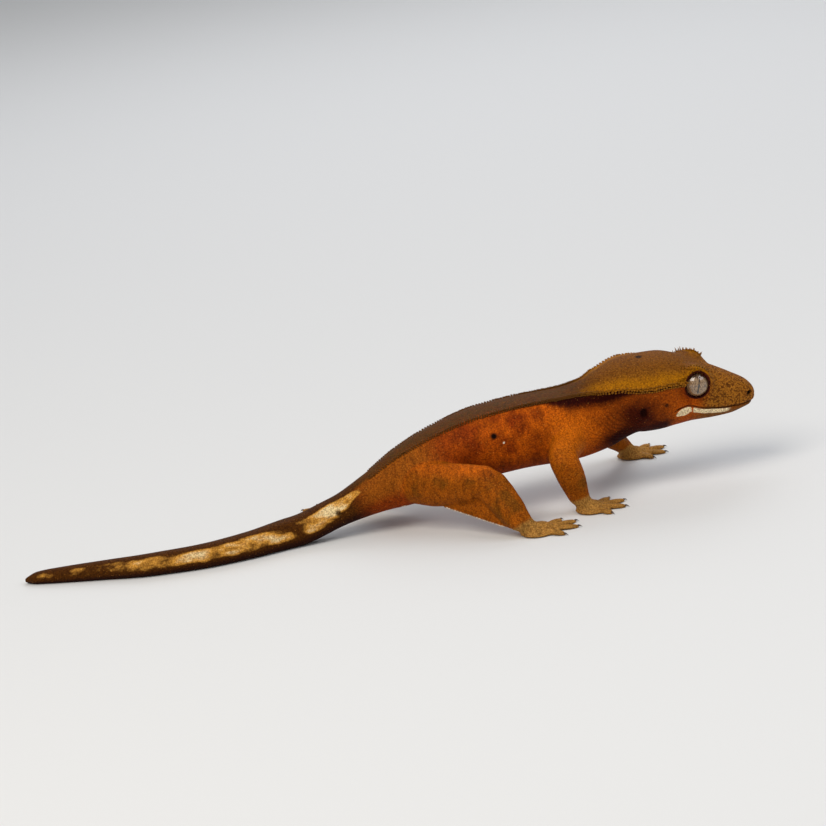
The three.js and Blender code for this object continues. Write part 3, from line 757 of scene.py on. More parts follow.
@dataclass
class Sculptor:
    """Moves the skin's vertices to make lids, lips, nostrils, ears and folds."""

    head: Head
    form: SkinMesh
    socket_gap: float = 0.45
    lid_over: float = 0.3
    lid_brow: float = 0.25
    crease_depth: float = 0.14
    rib_height: float = 0.05
    lip_groove: float = 0.42
    lip_upper: float = 0.16
    lip_lower: float = 0.22
    pit_rim: float = 0.12

    def run(self) -> None:
        """Sculpts every feature from where the vertices lay at first."""
        places = self.head.line.locate(self.form.points)
        self.folds(places)
        self.mouth(places)
        for side in Side:
            self.eye(side)
        for side in Side:
            self.pit(self.head.nostril, side, 0.7, 0.1)
            self.pit(self.head.ear_pit, side, 0.6)

    def eye(self, side: Side) -> None:
        """Opens the socket of an eye and raises its rim.

        Args:
            side: Which eye.
        """
        radius = self.head.eye_radius
        ahead, above, out, across = self.head.from_eye(self.form.points, side)
        reach = np.hypot(ahead, above)
        rim_reach = np.minimum(reach / np.maximum(across, 0.05), radius - 0.1)
        ball = np.sqrt(np.maximum(radius**2 - np.minimum(reach, radius) ** 2, 0.0))
        lip = np.sqrt(radius**2 - rim_reach**2) + self.lid_over + self.lid_brow * smooth(0.5, 2.8, above)
        inner = smooth(0.97, 1.06, across)
        outer = smooth(1.3, 1.85, across)
        goal = (ball - self.socket_gap) * (1 - inner) + lip * inner
        goal = goal * (1 - outer) + np.minimum(out, lip + 0.3) * outer
        weight = smooth(2.2, 1.5, across) * (out > -1.2)
        self.form.points += (side.value * (goal - out) * weight)[:, None] * self.head.left

    def mouth(self, places: Places) -> None:
        """Cuts the mouth line and swells the lips along it.

        Args:
            places: Where the skin's vertices lie.
        """
        level = self.head.mouth_level(places.along)
        slope = self.head.mouth_level(places.along + 0.5) - level
        depth = (places.above - level) / np.sqrt(1 + (2 * slope) ** 2)
        reach = smooth(self.head.corner + 0.2, self.head.corner - 1.4, places.along)
        lips = self.lip_upper * bump_at(depth, 0.75, 0.5) + self.lip_lower * bump_at(depth, -0.8, 0.55)
        move = (lips - self.lip_groove * bump_at(depth, 0.0, 0.2)) * reach
        self.form.points += move[:, None] * self.form.normals

    def pit(self, opening: Opening, side: Side, depth: float, front: float = 0.0) -> None:
        """Sinks one opening and raises a faint rim round it.

        Args:
            opening: The nostril or ear.
            side: On which side.
            depth: How deep it is.
            front: How far forward of its section it lies.
        """
        across, aside = self.head.from_opening(self.form.points, opening, side, front)
        rim = self.pit_rim * bump_at(across, 1.5, 0.35)
        move = side.value * (rim - depth * smooth(1.25, 0.55, across)) * (aside < 2.5)
        self.form.points += move[:, None] * self.head.line.directions(opening.along)[1]

    def folds(self, places: Places) -> None:
        """Adds the slanting creases of the neck and the soft upright folds of the flank.

        Args:
            places: Where the skin's vertices lie.
        """
        flank = smooth(56.0, 62.0, places.along) * smooth(92.0, 82.0, places.along)
        flank *= bump_at(places.angle, -5.0, 30.0) * smooth(0.8, 0.2, places.outside)
        ribs = flank * np.sin(places.along * 2.1 + 0.8 * np.sin(places.angle * 0.09))
        move = self.rib_height * ribs - self.crease_depth * neck_creases(places)
        self.form.points += move[:, None] * self.form.normals


@dataclass
class SkinBuilder:
    """Builds the one skin: closed forms, fused, smoothed and then sculpted."""

    head: Head
    shift: np.ndarray
    voxel: float = 0.27
    body_step: float = 0.7
    body_sides: int = 88
    limb_sides: int = 24
    limb_rings: int = 14
    cap_reach: float = 0.6
    palm_height: float = 1.55
    web_growth: float = 1.7
    web_height: float = 0.7
    spur_radius: float = 0.72
    head_start: float = 33.0
    even_rounds: int = 6
    joint_rounds: int = 60
    head_rounds: int = 2
    ankle: tuple[tuple[float, float], ...] = ((2.3, 2.3), (2.0, 2.4), (1.4, 2.5))
    toe_shape: tuple[Point, ...] = (
        (-0.12, 0.6, 0.6),
        (0.02, 0.74, 0.8),
        (0.28, 0.78, 0.72),
        (0.52, 1.12, 0.62),
        (0.76, 1.22, 0.55),
        (0.92, 0.86, 0.46),
        (1.0, 0.4, 0.34),
    )
    parts: MeshParts = field(default_factory=MeshParts)

    def body(self) -> None:
        """Adds the head, trunk and tail as one loft."""
        line = self.head.line
        starts = np.array([0.02, 0.15, 0.35, 0.6, 0.9])
        middle = np.arange(1.3, line.length - 1.2, self.body_step)
        ends = line.length - np.array([1.0, 0.5, 0.2, 0.03])
        angles = np.linspace(-90, 90, self.body_sides // 2, endpoint=False)
        rings = []
        for along in np.concatenate([starts, middle, ends]):
            rings.append(np.concatenate([line.skin(along, angles, -1), line.skin(along, -angles, 1)]))
        self.parts.loft(rings)

    def tube(self, axis: Sequence[Knot], guide: Sequence[float]) -> None:
        """Adds a limb's tube with rounded ends.

        Args:
            axis: The tube's axis and thickness.
            guide: Direction in which the first thickness is measured.
        """
        points, ahead = spline(np.array([k.at for k in axis]), self.limb_rings)
        shares = np.linspace(0, len(axis) - 1, self.limb_rings)
        thick = np.interp(shares, range(len(axis)), [k.thick for k in axis])
        across = np.interp(shares, range(len(axis)), [k.across for k in axis])
        cap = [(math.sin(tilt), math.cos(tilt)) for tilt in np.radians([75, 50, 25])]
        stops = [(0, -sine, cosine) for sine, cosine in cap]
        stops += [(i, 0.0, 1.0) for i in range(self.limb_rings)]
        stops += [(-1, sine, cosine) for sine, cosine in cap[::-1]]
        rings = []
        for i, reach, shrink in stops:
            aside = unit(np.cross(ahead[i], guide))
            thick_way = unit(np.cross(aside, ahead[i]))
            round_way = shrink * ring(self.limb_sides, thick_way * thick[i], aside * across[i])
            rings.append(points[i] + self.cap_reach * across[i] * reach * ahead[i] + round_way)
        self.parts.loft(rings)

    def toe(self, foot: Foot, toe: Toe) -> None:
        """Adds one toe with its broad pad.

        Args:
            foot: The foot that carries it.
            toe: The toe.
        """
        ahead, aside = heading(foot.heading + toe.turn)
        root = foot.above(0.0) + foot.toe_start * ahead
        rings = []
        for share, half, high in self.toe_shape:
            arch = 0.35 * math.sin(math.pi * max(share, 0.0))
            centre = root + share * toe.length * ahead + (high * 0.82 + arch * 0.5) * UPRIGHT
            rings.append(centre + ring(16, half * aside, high * UPRIGHT))
        self.parts.loft(rings)

    def foot(self, foot: Foot) -> None:
        """Adds a hand or foot.

        Args:
            foot: Its plan.
        """
        ahead, aside = heading(foot.heading)
        long, wide = foot.palm_long, foot.palm_wide
        palm = foot.above(0.8 * self.palm_height)
        self.parts.ellipsoid(palm, (long * ahead, wide * aside, self.palm_height * UPRIGHT))
        long_way, wide_way = (long + self.web_growth) * ahead, (wide + self.web_growth) * aside
        axes = (long_way, wide_way, self.web_height * UPRIGHT)
        self.parts.ellipsoid(foot.above(0.7 * self.web_height) + 0.8 * ahead, axes)
        joint = np.array(foot.joint)
        middle = 0.5 * (joint + palm)
        middle[2] = 0.62 * joint[2]
        self.tube(knots(*((*at, *sizes) for at, sizes in zip((joint, middle, palm), self.ankle))), UPRIGHT)
        for toe in foot.toes:
            self.toe(foot, toe)

    def web(self, corners: Sequence[Point]) -> None:
        """Adds the fold of skin behind the bent knee.

        Args:
            corners: Its three corners.
        """
        flat = np.array(corners)
        across = unit(np.cross(flat[1] - flat[0], flat[2] - flat[0]))
        middle = flat.mean(0)
        steps = ((-0.6, 0.86), (-0.3, 1.0), (0.3, 1.0), (0.6, 0.86))
        self.parts.loft([middle + size * (flat - middle) + step * across for step, size in steps])

    def rough(self) -> bpy.types.Object:
        """Gathers every closed form of the flesh and fuses them.

        Returns:
            The fused object, in metres in the row's frame.
        """
        head = self.head
        self.body()
        for limb in LIMBS.values():
            self.tube(limb.upper, UPRIGHT)
            self.tube(limb.lower, limb.lower_guide)
            self.foot(limb.foot)
            if limb.web:
                self.web(limb.web)
        brow = (head.brow_reach, head.brow_width, head.brow_height)
        for side in Side:
            for place, sizes in ((head.brow_place, brow), (head.brow_base_place, head.brow_base)):
                axes = [size * way for size, way in zip(sizes, (head.front, head.left, head.up))]
                self.parts.ellipsoid(head.at_eyes(place, side), axes)
        self.parts.ellipsoid(head.line.spur(), self.spur_radius * np.eye(3), rows=8)
        obj = self.parts.build("skin", self.shift)
        fuse = obj.modifiers.new("fuse", "REMESH")
        fuse.mode = "VOXEL"
        fuse.voxel_size = self.voxel * MILLIMETRE
        graph = bpy.context.evaluated_depsgraph_get()
        fused = bpy.data.meshes.new_from_object(obj.evaluated_get(graph))
        obj.modifiers.clear()
        obj.data = fused
        return obj

    def refine_head(self, obj: bpy.types.Object) -> None:
        """Halves the faces of the head, where the finest features are.

        Args:
            obj: The skin.
        """
        limit = (self.head_start + self.shift[0]) * MILLIMETRE
        shape = bmesh.new()
        shape.from_mesh(obj.data)
        edges = [e for e in shape.edges if min(v.co.x for v in e.verts) > limit]
        bmesh.ops.subdivide_edges(shape, edges=edges, cuts=1, use_grid_fill=True)
        shape.to_mesh(obj.data)
        shape.free()

    def blend_weights(self, form: SkinMesh, places: Places) -> np.ndarray:
        """How far the fused skin is smoothed: most where a limb or a brow grows out and at the joints.

        Args:
            form: The skin's vertices.
            places: Where they lay on the body at first.

        Returns:
            Weights from 0 to 0.6.
        """
        roots = smooth(-2.6, -0.6, places.outside) * smooth(5.0, 2.0, places.outside)
        roots *= smooth(36.0, 42.0, places.along) * smooth(118.0, 108.0, places.along)
        joints = np.zeros(len(form.points))
        for limb in LIMBS.values():
            for spot in (limb.lower[0].at, limb.foot.joint):
                joints = np.maximum(joints, smooth(6.0, 3.0, form.distance(spot)))
        offset = form.points - self.head.at_eyes(self.head.saddle_place, Side.RIGHT)
        aside = offset @ self.head.left
        across = np.linalg.norm(offset - aside[:, None] * self.head.left, axis=1)
        brows = smooth(6.0, 4.6, np.abs(aside)) * smooth(6.5, 4.0, across)
        return np.clip(np.maximum(np.maximum(0.6 * roots, 0.55 * joints), 0.5 * brows), 0.0, 0.6)

    def build(self) -> bpy.types.Object:
        """Makes the finished skin with its stored numbers.

        Returns:
            The skin object.
        """
        obj = self.rough()
        log.info("fused skin: %d faces", len(obj.data.polygons))
        form = SkinMesh(obj, self.shift)
        places = self.head.line.locate(form.points)
        form.relax(self.even_rounds, np.full(len(form.points), 0.5))
        form.relax(self.joint_rounds, self.blend_weights(form, places))
        form.write()
        self.refine_head(obj)
        form = SkinMesh(obj, self.shift)
        ahead = smooth(self.head_start, self.head_start + 2.0, form.points[:, 0])
        form.relax(self.head_rounds, 0.5 * ahead)
        Sculptor(self.head, form).run()
        form.points[:, 2] = np.maximum(form.points[:, 2], 0.0)
        form.write()
        log.info("skin: %d faces", len(obj.data.polygons))
        Markings(self.head, form).paint()
        obj.data.shade_smooth()
        return obj


# The few dark spots: place, radius and strength
SPOTS = (
    ((-2.3, -9.0, 21.7), 0.85, 1.0),
    ((12.4, -17.2, 17.0), 0.95, 1.0),
    ((-17.6, -14.0, 13.2), 0.6, 0.7),
    ((36.3, -1.0, 33.6), 0.8, 0.9),
    ((41.0, -8.6, 22.2), 0.55, 0.8),
    ((-5.4, -20.5, 16.2), 2.2, 0.45),
    ((-43.3, -4.3, 7.3), 0.75, 0.9),
    ((53.0, -4.4, 22.0), 0.35, 0.7),
    ((50.4, -5.3, 21.4), 0.3, 0.6),
    ((-9.5, 9.0, 19.0), 0.8, 1.0),
    ((3.0, 8.9, 22.0), 0.5, 0.8),
    ((-20.0, -6.0, 19.0), 0.4, 0.6),
)


@dataclass
class Markings:
    """Works out where each colour of the coat lies, as numbers on the skin's vertices."""

    head: Head
    form: SkinMesh
    pale_dot: Point = (-0.1, -9.2, 19.7)
    web_scales: int = 26

    def __post_init__(self) -> None:
        """Finds where the vertices lie on the body."""
        self.places = self.head.line.locate(self.form.points)

    def limb_numbers(self) -> tuple[np.ndarray, np.ndarray]:
        """How far each vertex belongs to a limb and to a hand or foot.

        Returns:
            Two arrays from 0 to 1.
        """
        points = self.form.points
        hand = np.zeros(len(points))
        for limb in LIMBS.values():
            offset = (points - limb.foot.above(0.0)) * np.array([1.0, 1.0, 1.6])
            distance = np.linalg.norm(offset, axis=1)
            toes_near = smooth(14.0, 12.0, distance) * smooth(2.6, 1.9, points[:, 2])
            hand = np.maximum(hand, np.maximum(smooth(9.5, 6.0, distance), toes_near))
        trunk = smooth(36.0, 40.0, self.places.along)
        return np.maximum(smooth(0.15, 1.1, self.places.outside) * trunk, hand), hand

    def paint(self) -> None:
        """Stores every marking, and the masks of painted shade and painted highlight."""
        line = self.head.line
        along, angle = self.places.along, self.places.angle
        over = angle - line.value("crest", along)

        def span(low: float, high: float) -> np.ndarray:
            """Eases from 0 to 1 between two distances from the snout tip."""
            return smooth(low, high, along)

        limb, hand = self.limb_numbers()
        trunk = 1.0 - limb
        eyes = self.head.eyes
        nape, neck, chest, vent = (line.distance_to(name) for name in ("nape", "neck", "chest", "vent"))
        behind_eye = span(eyes + 1.0, eyes + 4.0)
        soft = 4.0 + 34.0 * span(neck + 2.0, chest + 2.0)
        top = smooth(-0.5 * soft, 0.6 * soft, over) * behind_eye
        top += (1 - behind_eye) * smooth(15.0, 50.0, angle)
        golden = bump_at(over, 4.0, 24.0) * smooth(-1.5, 1.0, over) * span(neck + 6, nape - 4)
        reach = 5.0 + 26.0 * span(nape - 7.0, nape + 3.0) * span(neck + 13.0, neck + 3.0)
        shadow = np.exp(-((np.maximum(-over, 0.0) / reach) ** 2)) * smooth(1.5, -0.5, over)
        # Painted shade on the throat, under the head.
        throat_shade = smooth(-4.0, -36.0, angle) * span(18.0, 26.0)
        cheek = smooth(3.0, -6.0, over) * span(eyes + 2.0, eyes + 7.0)
        warm = bump_at(self.form.points[:, 0], 17.0, 8.0) * bump_at(self.form.points[:, 2], 19.5, 6.0)
        rump = span(vent - 22.0, vent - 14.0) * smooth(-25.0, 5.0, angle)
        flank = span(neck, chest) * smooth(4.0, -12.0, over)
        # Painted shade on the side of the neck, below the overhanging head.
        neck_shade = bump_at(along, nape - 5.0, 8.0) * bump_at(angle, -12.0, 36.0)
        on_trunk = {
            "back": top,
            "shadow": shadow * behind_eye * span(chest + 14.0, chest - 4.0),
            "throat_shade": throat_shade * span(neck + 6.0, neck - 4.0),
            "cheek": cheek * span(neck + 3, nape - 2),
            "low": smooth(-8.0, -65.0, angle),
            "rear": span(neck + 16.0, vent - 12.0),
            "rump": rump * span(vent + 6, vent),
            "tail": span(vent - 1.0, vent + 7.0),
            "cream": self.cream(),
            "crease": neck_creases(self.places),
        }
        anywhere = {
            "limb": limb,
            "hand": hand,
            "golden": golden * (0.25 + 0.75 * span(eyes - 6.0, eyes + 2.0)),
            "snout": span(eyes + 1.0, eyes - 4.0) * smooth(-34.0, -12.0, angle),
            "chin": span(eyes + 3.0, eyes - 4.0) * smooth(-12.0, -34.0, angle),
            "warm": 0.85 * warm * smooth(4.0, -4.0, over),
            "crown": span(neck + 2.0, nape - 3.0),
            "flank": flank * (1.0 - span(vent - 8, vent)),
            "under": smooth(-2.0, -38.0, angle),
            "lip": self.lip(),
            "neck_shade": neck_shade * smooth(1.0, -3.0, over),
            "ear": self.ears(),
            "spot": self.spots(),
            "pit": self.recess_shade(),
            "lid": self.lids(),
            "pale": self.pale_points(),
            "ridge": self.thigh_highlight(),
        }
        for name, values in anywhere.items():
            store(self.form.obj, name, values)
        for name, values in on_trunk.items():
            store(self.form.obj, name, values * trunk)

    def ears(self) -> np.ndarray:
        """The dark patch round each ear opening.

        Returns:
            One number per vertex.
        """
        above = self.places.above + self.head.ear_drop
        slant = (self.places.along - self.head.ear) + 0.25 * above
        return np.exp(-((slant / 1.7) ** 2) - (above / 2.1) ** 2)

    def thigh_highlight(self) -> np.ndarray:
        """The painted highlight along the upper edge of the near thigh.

        Returns:
            One number per vertex.
        """
        edge = np.array([k.at for k in LIMBS["right leg"].upper]) + np.array([0.0, -1.5, 3.6])
        return smooth(3.4, 0.8, np.min([self.form.distance(point) for point in spline(edge, 24)[0]], axis=0))

    def lip(self) -> np.ndarray:
        """The cream stripe on the lower lip, with its broad end at the corner of the mouth.

        Returns:
            One number per vertex.
        """
        along = self.places.along
        corner = self.head.corner
        below = self.head.mouth_level(along) - self.places.above
        stripe = smooth(0.1, 0.35, below) * smooth(1.75, 1.25, below)
        stripe *= smooth(4.5, 9.5, along) * smooth(corner - 1.0, corner - 2.6, along)
        stripe *= 1.0 - 0.7 * bump_at(along, corner - 5.1, 0.4)
        offset = np.hypot((along - (corner - 2.6)) / 1.9, (below - 1.35) / 1.15)
        return np.maximum(stripe, smooth(1.15, 0.8, offset))

    def cream(self) -> np.ndarray:
        """The band of cream along the tail's upper sides, before its edges are broken up.

        Returns:
            One number per vertex.
        """
        along, angle = self.places.along, self.places.angle
        length = self.head.line.length
        start = self.head.line.distance_to("vent") + 1.5
        centre = 40.0 - 16.0 * smooth(start, start + 16.0, along)
        half = 12.0 + 22.0 * smooth(start, start + 9.0, along)
        band = smooth(1.25, 0.55, np.abs(angle - centre) / half)
        gap = 1.0 - 0.95 * bump_at(along - 0.06 * angle, start + 19.5, 2.6)
        end = smooth(length - 16.0, length - 66.0, along)
        return band * smooth(start - 1.0, start + 2.0, along) * gap * (0.3 + 0.7 * end)

    def spots(self) -> np.ndarray:
        """The few dark spots."""
        found = [size * smooth(1.35 * r, 0.6 * r, self.form.distance(place)) for place, r, size in SPOTS]
        return np.max(found, axis=0)

    def recess_shade(self) -> np.ndarray:
        """Painted shade inside the nostrils, the ears and the mouth line.

        Returns:
            One number per vertex.
        """
        depth = self.places.above - self.head.mouth_level(self.places.along)
        reach = smooth(self.head.corner + 0.4, self.head.corner - 0.6, self.places.along)
        total = 0.85 * bump_at(depth, 0.0, 0.2) * reach
        for side in Side:
            for opening in (self.head.nostril, self.head.ear_pit):
                across, aside = self.head.from_opening(self.form.points, opening, side)
                total = np.maximum(total, opening.dark * smooth(1.5, 0.7, across) * (aside < 3.0))
        return total

    def lids(self) -> np.ndarray:
        """The dark ring of skin at the edge of each eye.

        Returns:
            One number per vertex.
        """
        total = np.zeros(len(self.form.points))
        for side in Side:
            _, above, out, across = self.head.from_eye(self.form.points, side)
            outer = 1.26 + 0.14 * smooth(0.0, 2.5, above)
            total = np.maximum(total, smooth(outer, 1.12, across) * (out > -1.0))
        return total

    def pale_points(self) -> np.ndarray:
        """The pale dot, the pale spur and the pale scales along the edge of the knee's web.

        Returns:
            One number per vertex.
        """
        spots = [(self.head.line.spur(), 1.0, 0.8), (self.pale_dot, 0.4, 0.2)]
        start, end, _ = np.array(LIMBS["right leg"].web)
        for share in np.linspace(0.05, 1.0, self.web_scales):
            spots.append((start + share * (end - start), 0.8, 0.4))
        found = [smooth(outer, inner, self.form.distance(spot)) for spot, outer, inner in spots]
        return np.max(found, axis=0)


@dataclass(frozen=True)
class Spine:
    """One spine: its root, the way of its tip, sizes, place on the unwrap and share of two tints."""

    root: np.ndarray
    way: np.ndarray
    high: float
    half: float
    place: tuple[float, float]
    golden: float = 0.0
    maroon: float = 0.0


@dataclass
class SpineMaker:
    """Grows the lash and crest spines as joined cones over the skin."""

    head: Head
    shift: np.ndarray
    seed: int = 7
    sides: int = 6
    flatness: float = 0.75
    patch: float = 0.0012
    crest_high: float = 1.3
    crest_half: float = 0.3
    crest_gap: float = 0.56
    lash_high: float = 1.38
    lash_half: float = 0.21
    lash_spread: float = 1.75
    levels: tuple[tuple[float, float], ...] = ((-0.25, 1.0), (0.3, 0.78), (0.72, 0.36))
    crest_rows: tuple[tuple[float, float], ...] = ((0.0, 1.0), (3.0, 0.7), (-3.0, 0.4))
    lash_rows: tuple[tuple[float, float, int, float], ...] = (
        (42.0, 1.0, 12, 0.0),
        (66.0, 0.6, 10, 0.0),
        (20.0, 0.5, 12, 0.6),
        (2.0, 0.45, 13, 1.0),
    )

    def join(self, spines: Sequence[Spine], name: str) -> bpy.types.Object:
        """Makes one object of many spines, with their map and tints.

        Args:
            spines: The spines.
            name: The object's name.

        Returns:
            The object.
        """
        parts = MeshParts()
        circle = ring(self.sides, (1.0, 0.0), (0.0, 1.0))
        spread = self.patch * np.concatenate([circle] * len(self.levels) + [np.zeros((2, 2))])
        for spine in spines:
            along = unit(FORWARD - spine.way * (FORWARD @ spine.way))
            aside = np.cross(spine.way, along)
            round_way = ring(self.sides, along * spine.half, aside * spine.half * self.flatness)
            reach = spine.high * spine.way
            rings = [spine.root + share * reach + girth * round_way for share, girth in self.levels]
            parts.loft(rings, spine.root + reach)
        obj = parts.build(name, self.shift)
        marks = np.concatenate([np.array(spine.place) + spread for spine in spines])
        vertices = read(obj.data.loops, "vertex_index", 1, np.int32).ravel()
        layer = obj.data.uv_layers.new(name="OFBake")
        layer.data.foreach_set("uv", marks[vertices].astype(np.float32).ravel())
        shares = [0.0] * self.sides + [0.4] * self.sides + [0.8] * self.sides + [0.0, 1.0]
        store(obj, "tip", np.tile(shares, len(spines)))
        store(obj, "golden", np.repeat([s.golden for s in spines], len(shares)))
        store(obj, "maroon", np.repeat([s.maroon for s in spines], len(shares)))
        return obj

    def crest(self) -> bpy.types.Object:
        """The crest spines in three rows a side, from behind the eyes to the hips.

        Returns:
            The object.
        """
        rng = np.random.default_rng(self.seed)
        line = self.head.line
        spines = []
        start = self.head.eyes + 3.4
        end = line.distance_to("vent") - 1.0
        neck = line.distance_to("neck")
        for side in Side:
            for row, (offset, size) in enumerate(self.crest_rows):
                along = start + 0.3 * row
                while along < end:
                    fade = float(smooth(neck - 6.0, end, np.array(along)))
                    high = (self.crest_high - 0.6 * fade) * size * rng.uniform(0.6, 1.15)
                    degrees = float(line.value("crest", along)) + offset + rng.uniform(-0.8, 0.8)
                    ahead, _, up = line.directions(along)
                    way = line.skin_normal(along, degrees, side.value) + 0.35 * up
                    way = unit(way - rng.uniform(0.1, 0.5) * ahead)
                    root = line.skin(along, degrees, side.value)
                    place = ((along - start) / (end - start), 0.5 + side.value * (0.12 + degrees / 400.0))
                    golden = float(smooth(neck + 4.0, neck - 8.0, np.array(along))) * rng.uniform(0.3, 0.8)
                    half = self.crest_half * (1.0 - 0.25 * fade)
                    spines.append(Spine(root, way, high, half, place, golden))
                    along += (self.crest_gap + 0.14 * fade) * rng.uniform(0.85, 1.15)
        return self.join(spines, "crest_spines")

    def lashes(self) -> bpy.types.Object:
        """The lash spines that fan out over each brow, with dark short ones below them.

        Returns:
            The object.
        """
        rng = np.random.default_rng(self.seed + 1)
        head = self.head
        spines = []
        for side in Side:
            out = side.value * head.left
            centre = head.at_eyes(head.brow_place, side)
            for row, (tilt, size, number, maroon) in enumerate(self.lash_rows):
                for i in range(number):
                    share = (i + 0.5) / number - 0.5 + rng.uniform(-0.02, 0.02)
                    ahead = self.lash_spread * share
                    rise = math.sqrt(max(1 - ahead**2, 0.1))
                    angle = math.radians(tilt + rng.uniform(-6, 6))
                    aside, above = math.cos(angle) * out, math.sin(angle) * head.up
                    girth = head.brow_width * aside + head.brow_height * above
                    root = centre + ahead * head.brow_reach * head.front + 0.97 * rise * girth
                    way = unit(aside + above + 1.4 * share * head.front + 0.45 * (1 - maroon) * head.up)
                    high = self.lash_high * size * (0.6 + 0.4 * rise) * rng.uniform(0.6, 1.15)
                    place = (0.5 + 0.9 * share, 0.5 + side.value * (0.1 + 0.08 * row))
                    golden = 0.4 * (1 - maroon)
                    spines.append(Spine(root, way, high, self.lash_half, place, golden, maroon))
        return self.join(spines, "lash_spines")


@dataclass
class ClawMaker:
    """Makes the small claws at the tips of the toes."""

    shift: np.ndarray
    length: float = 1.18
    thick: float = 0.3
    drop: float = 0.42
    arch: float = 0.12
    sunk: float = 0.35

    def build(self) -> bpy.types.Object:
        """Makes all claws as one mesh.

        Returns:
            The object.
        """
        parts = MeshParts()
        for foot in (limb.foot for limb in LIMBS.values()):
            for toe in foot.toes:
                ahead, aside = heading(foot.heading + toe.turn)
                root = foot.above(0.5) + (foot.toe_start + toe.length - self.sunk) * ahead
                rings = []
                for share in np.linspace(0.0, 1.0, 6):
                    radius = self.thick * (1.0 - share) + 0.02
                    rise = self.arch * math.sin(3.1 * share) - self.drop * share**2
                    middle = root + self.length * share * ahead + rise * UPRIGHT
                    rings.append(middle + ring(8, 0.8 * radius * aside, radius * UPRIGHT))
                parts.loft(rings)
        return parts.build("claws", self.shift)


class Nodes:
    """A material's nodes, with one call per node."""

    def __init__(self, name: str) -> None:
        """Starts an empty material.

        Args:
            name: The real finish.
        """
        self.material = bpy.data.materials.new(name)
        self.material.use_nodes = True
        self.tree = self.material.node_tree
        self.tree.nodes.clear()

    def add(self, kind: str, settings: dict | None = None, **inputs: object) -> bpy.types.Node:
        """Adds a node.

        Args:
            kind: The node's type without the ShaderNode prefix.
            settings: Properties of the node itself.
            **inputs: Sockets by name, with underscores for spaces, or by number as i0, i1 and so on. A value
                is set on the socket, and an output socket is linked to it.

        Returns:
            The node.
        """
        node = self.tree.nodes.new("ShaderNode" + kind)
        node.location = (180 * len(self.tree.nodes), 0)
        for key, value in (settings or {}).items():
            setattr(node, key, value)
        for key, value in inputs.items():
            numbered = key[0] == "i" and key[1:].isdigit()
            socket = node.inputs[int(key[1:])] if numbered else node.inputs[key.replace("_", " ")]
            if isinstance(value, Socket):
                self.tree.links.new(value, socket)
            else:
                socket.default_value = value
        return node

    def place(self) -> Socket:
        """The object's own coordinates in metres."""
        return self.add("TexCoord").outputs["Object"]

    def number(self, name: str) -> Socket:
        """One of the numbers stored on the vertices."""
        return self.add("Attribute", {"attribute_name": name}).outputs["Fac"]

    def math(self, operation: str, *values: object) -> Socket:
        """A sum on one, two or three numbers, by the operation's name."""
        inputs = {f"i{i}": value for i, value in enumerate(values)}
        return self.add("Math", {"operation": operation}, **inputs).outputs[0]

    def times(self, value: Socket, factor: object) -> Socket:
        """A product of two numbers."""
        return self.math("MULTIPLY", value, factor)

    def stretch(self, place: Socket, factors: Point) -> Socket:
        """Coordinates scaled apart in x, y and z."""
        return self.add("VectorMath", {"operation": "MULTIPLY"}, i0=place, i1=factors).outputs[0]

    def grey(self, value: Socket) -> Socket:
        """A grey of the given lightness."""
        return self.add("CombineColor", None, Red=value, Green=value, Blue=value).outputs[0]

    def blend(self, amount: object, under: object, over: object, mode: str = "MIX") -> Socket:
        """Mixes two colours, given as sRGB hex or as sockets."""
        first, second = (linear(c) if isinstance(c, int) else c for c in (under, over))
        settings = {"data_type": "RGBA", "blend_type": mode}
        return self.add("Mix", settings, i0=amount, i6=first, i7=second).outputs[2]

    def stepped(self, value: Socket, low: float, high: float) -> Socket:
        """Eases from 0 to 1 as a number passes from low to high."""
        node = self.add("MapRange", {"interpolation_type": "SMOOTHSTEP"}, i0=value, i1=low, i2=high)
        return node.outputs[0]

    def noise(self, place: Socket, size: float, detail: float = 2.0) -> Socket:
        """Soft noise from 0 to 1 with a feature size in millimetres."""
        node = self.add("TexNoise", None, Vector=place, Scale=1.0 / (size * MILLIMETRE), Detail=detail)
        return node.outputs["Fac"]

    def surface(self, colour: object, **inputs: object) -> bpy.types.Material:
        """Ends the material in one surface shader.

        Args:
            colour: Base colour, as sRGB hex or a socket.
            **inputs: Other sockets of the shader.

        Returns:
            The material.
        """
        base = linear(colour) if isinstance(colour, int) else colour
        shader = self.add("BsdfPrincipled", None, Base_Color=base, **inputs)
        self.add("OutputMaterial", None, Surface=shader.outputs[0])
        return self.material


@dataclass(frozen=True)
class CoatColours:
    """The coat's colours in sRGB, named for where they lie; some of them are painted shade and painted
    highlight.
    """

    flank: int = 0xB85408
    flank_red: int = 0x7A2B04
    rear: int = 0x8E3A08
    back: int = 0x5E3306
    back_olive: int = 0x54350A
    head: int = 0x7C4A12
    golden: int = 0xA46706
    # painted shade on the throat, under the head
    shadow: int = 0x2C0401
    throat_shade: int = 0x2A0401
    # painted shade on the side of the neck below the head
    neck_shade: int = 0x471403
    cheek: int = 0xA04A08
    snout: int = 0xA0641C
    snout_dark: int = 0x683A0E
    chin: int = 0x7A4A18
    belly: int = 0x903A08
    warm: int = 0xCC680C
    rump: int = 0x96500F
    lip: int = 0xF4DDB0
    tail: int = 0x4E2A06
    tail_low: int = 0x2C1006
    cream: int = 0xD2953C
    cream_pale: int = 0xECD29C
    limb: int = 0x964D08
    limb_olive: int = 0x5E3C0A
    # painted highlight along the upper edge of the near thigh
    ridge: int = 0xBC5C0C
    hand: int = 0xA87838
    # also the painted shade inside the nostrils, ears and mouth line
    spot: int = 0x140604
    pale: int = 0xE8DCC2
    lid: int = 0x3E120A
    ear: int = 0x2C0502
    # painted shade in the gaps between the skin's grains
    grain_gap_shade: int = 0x70402A
    # painted glints on a few grains
    grain_glint: int = 0xE09A44
    spine_tip: int = 0x9A6A22


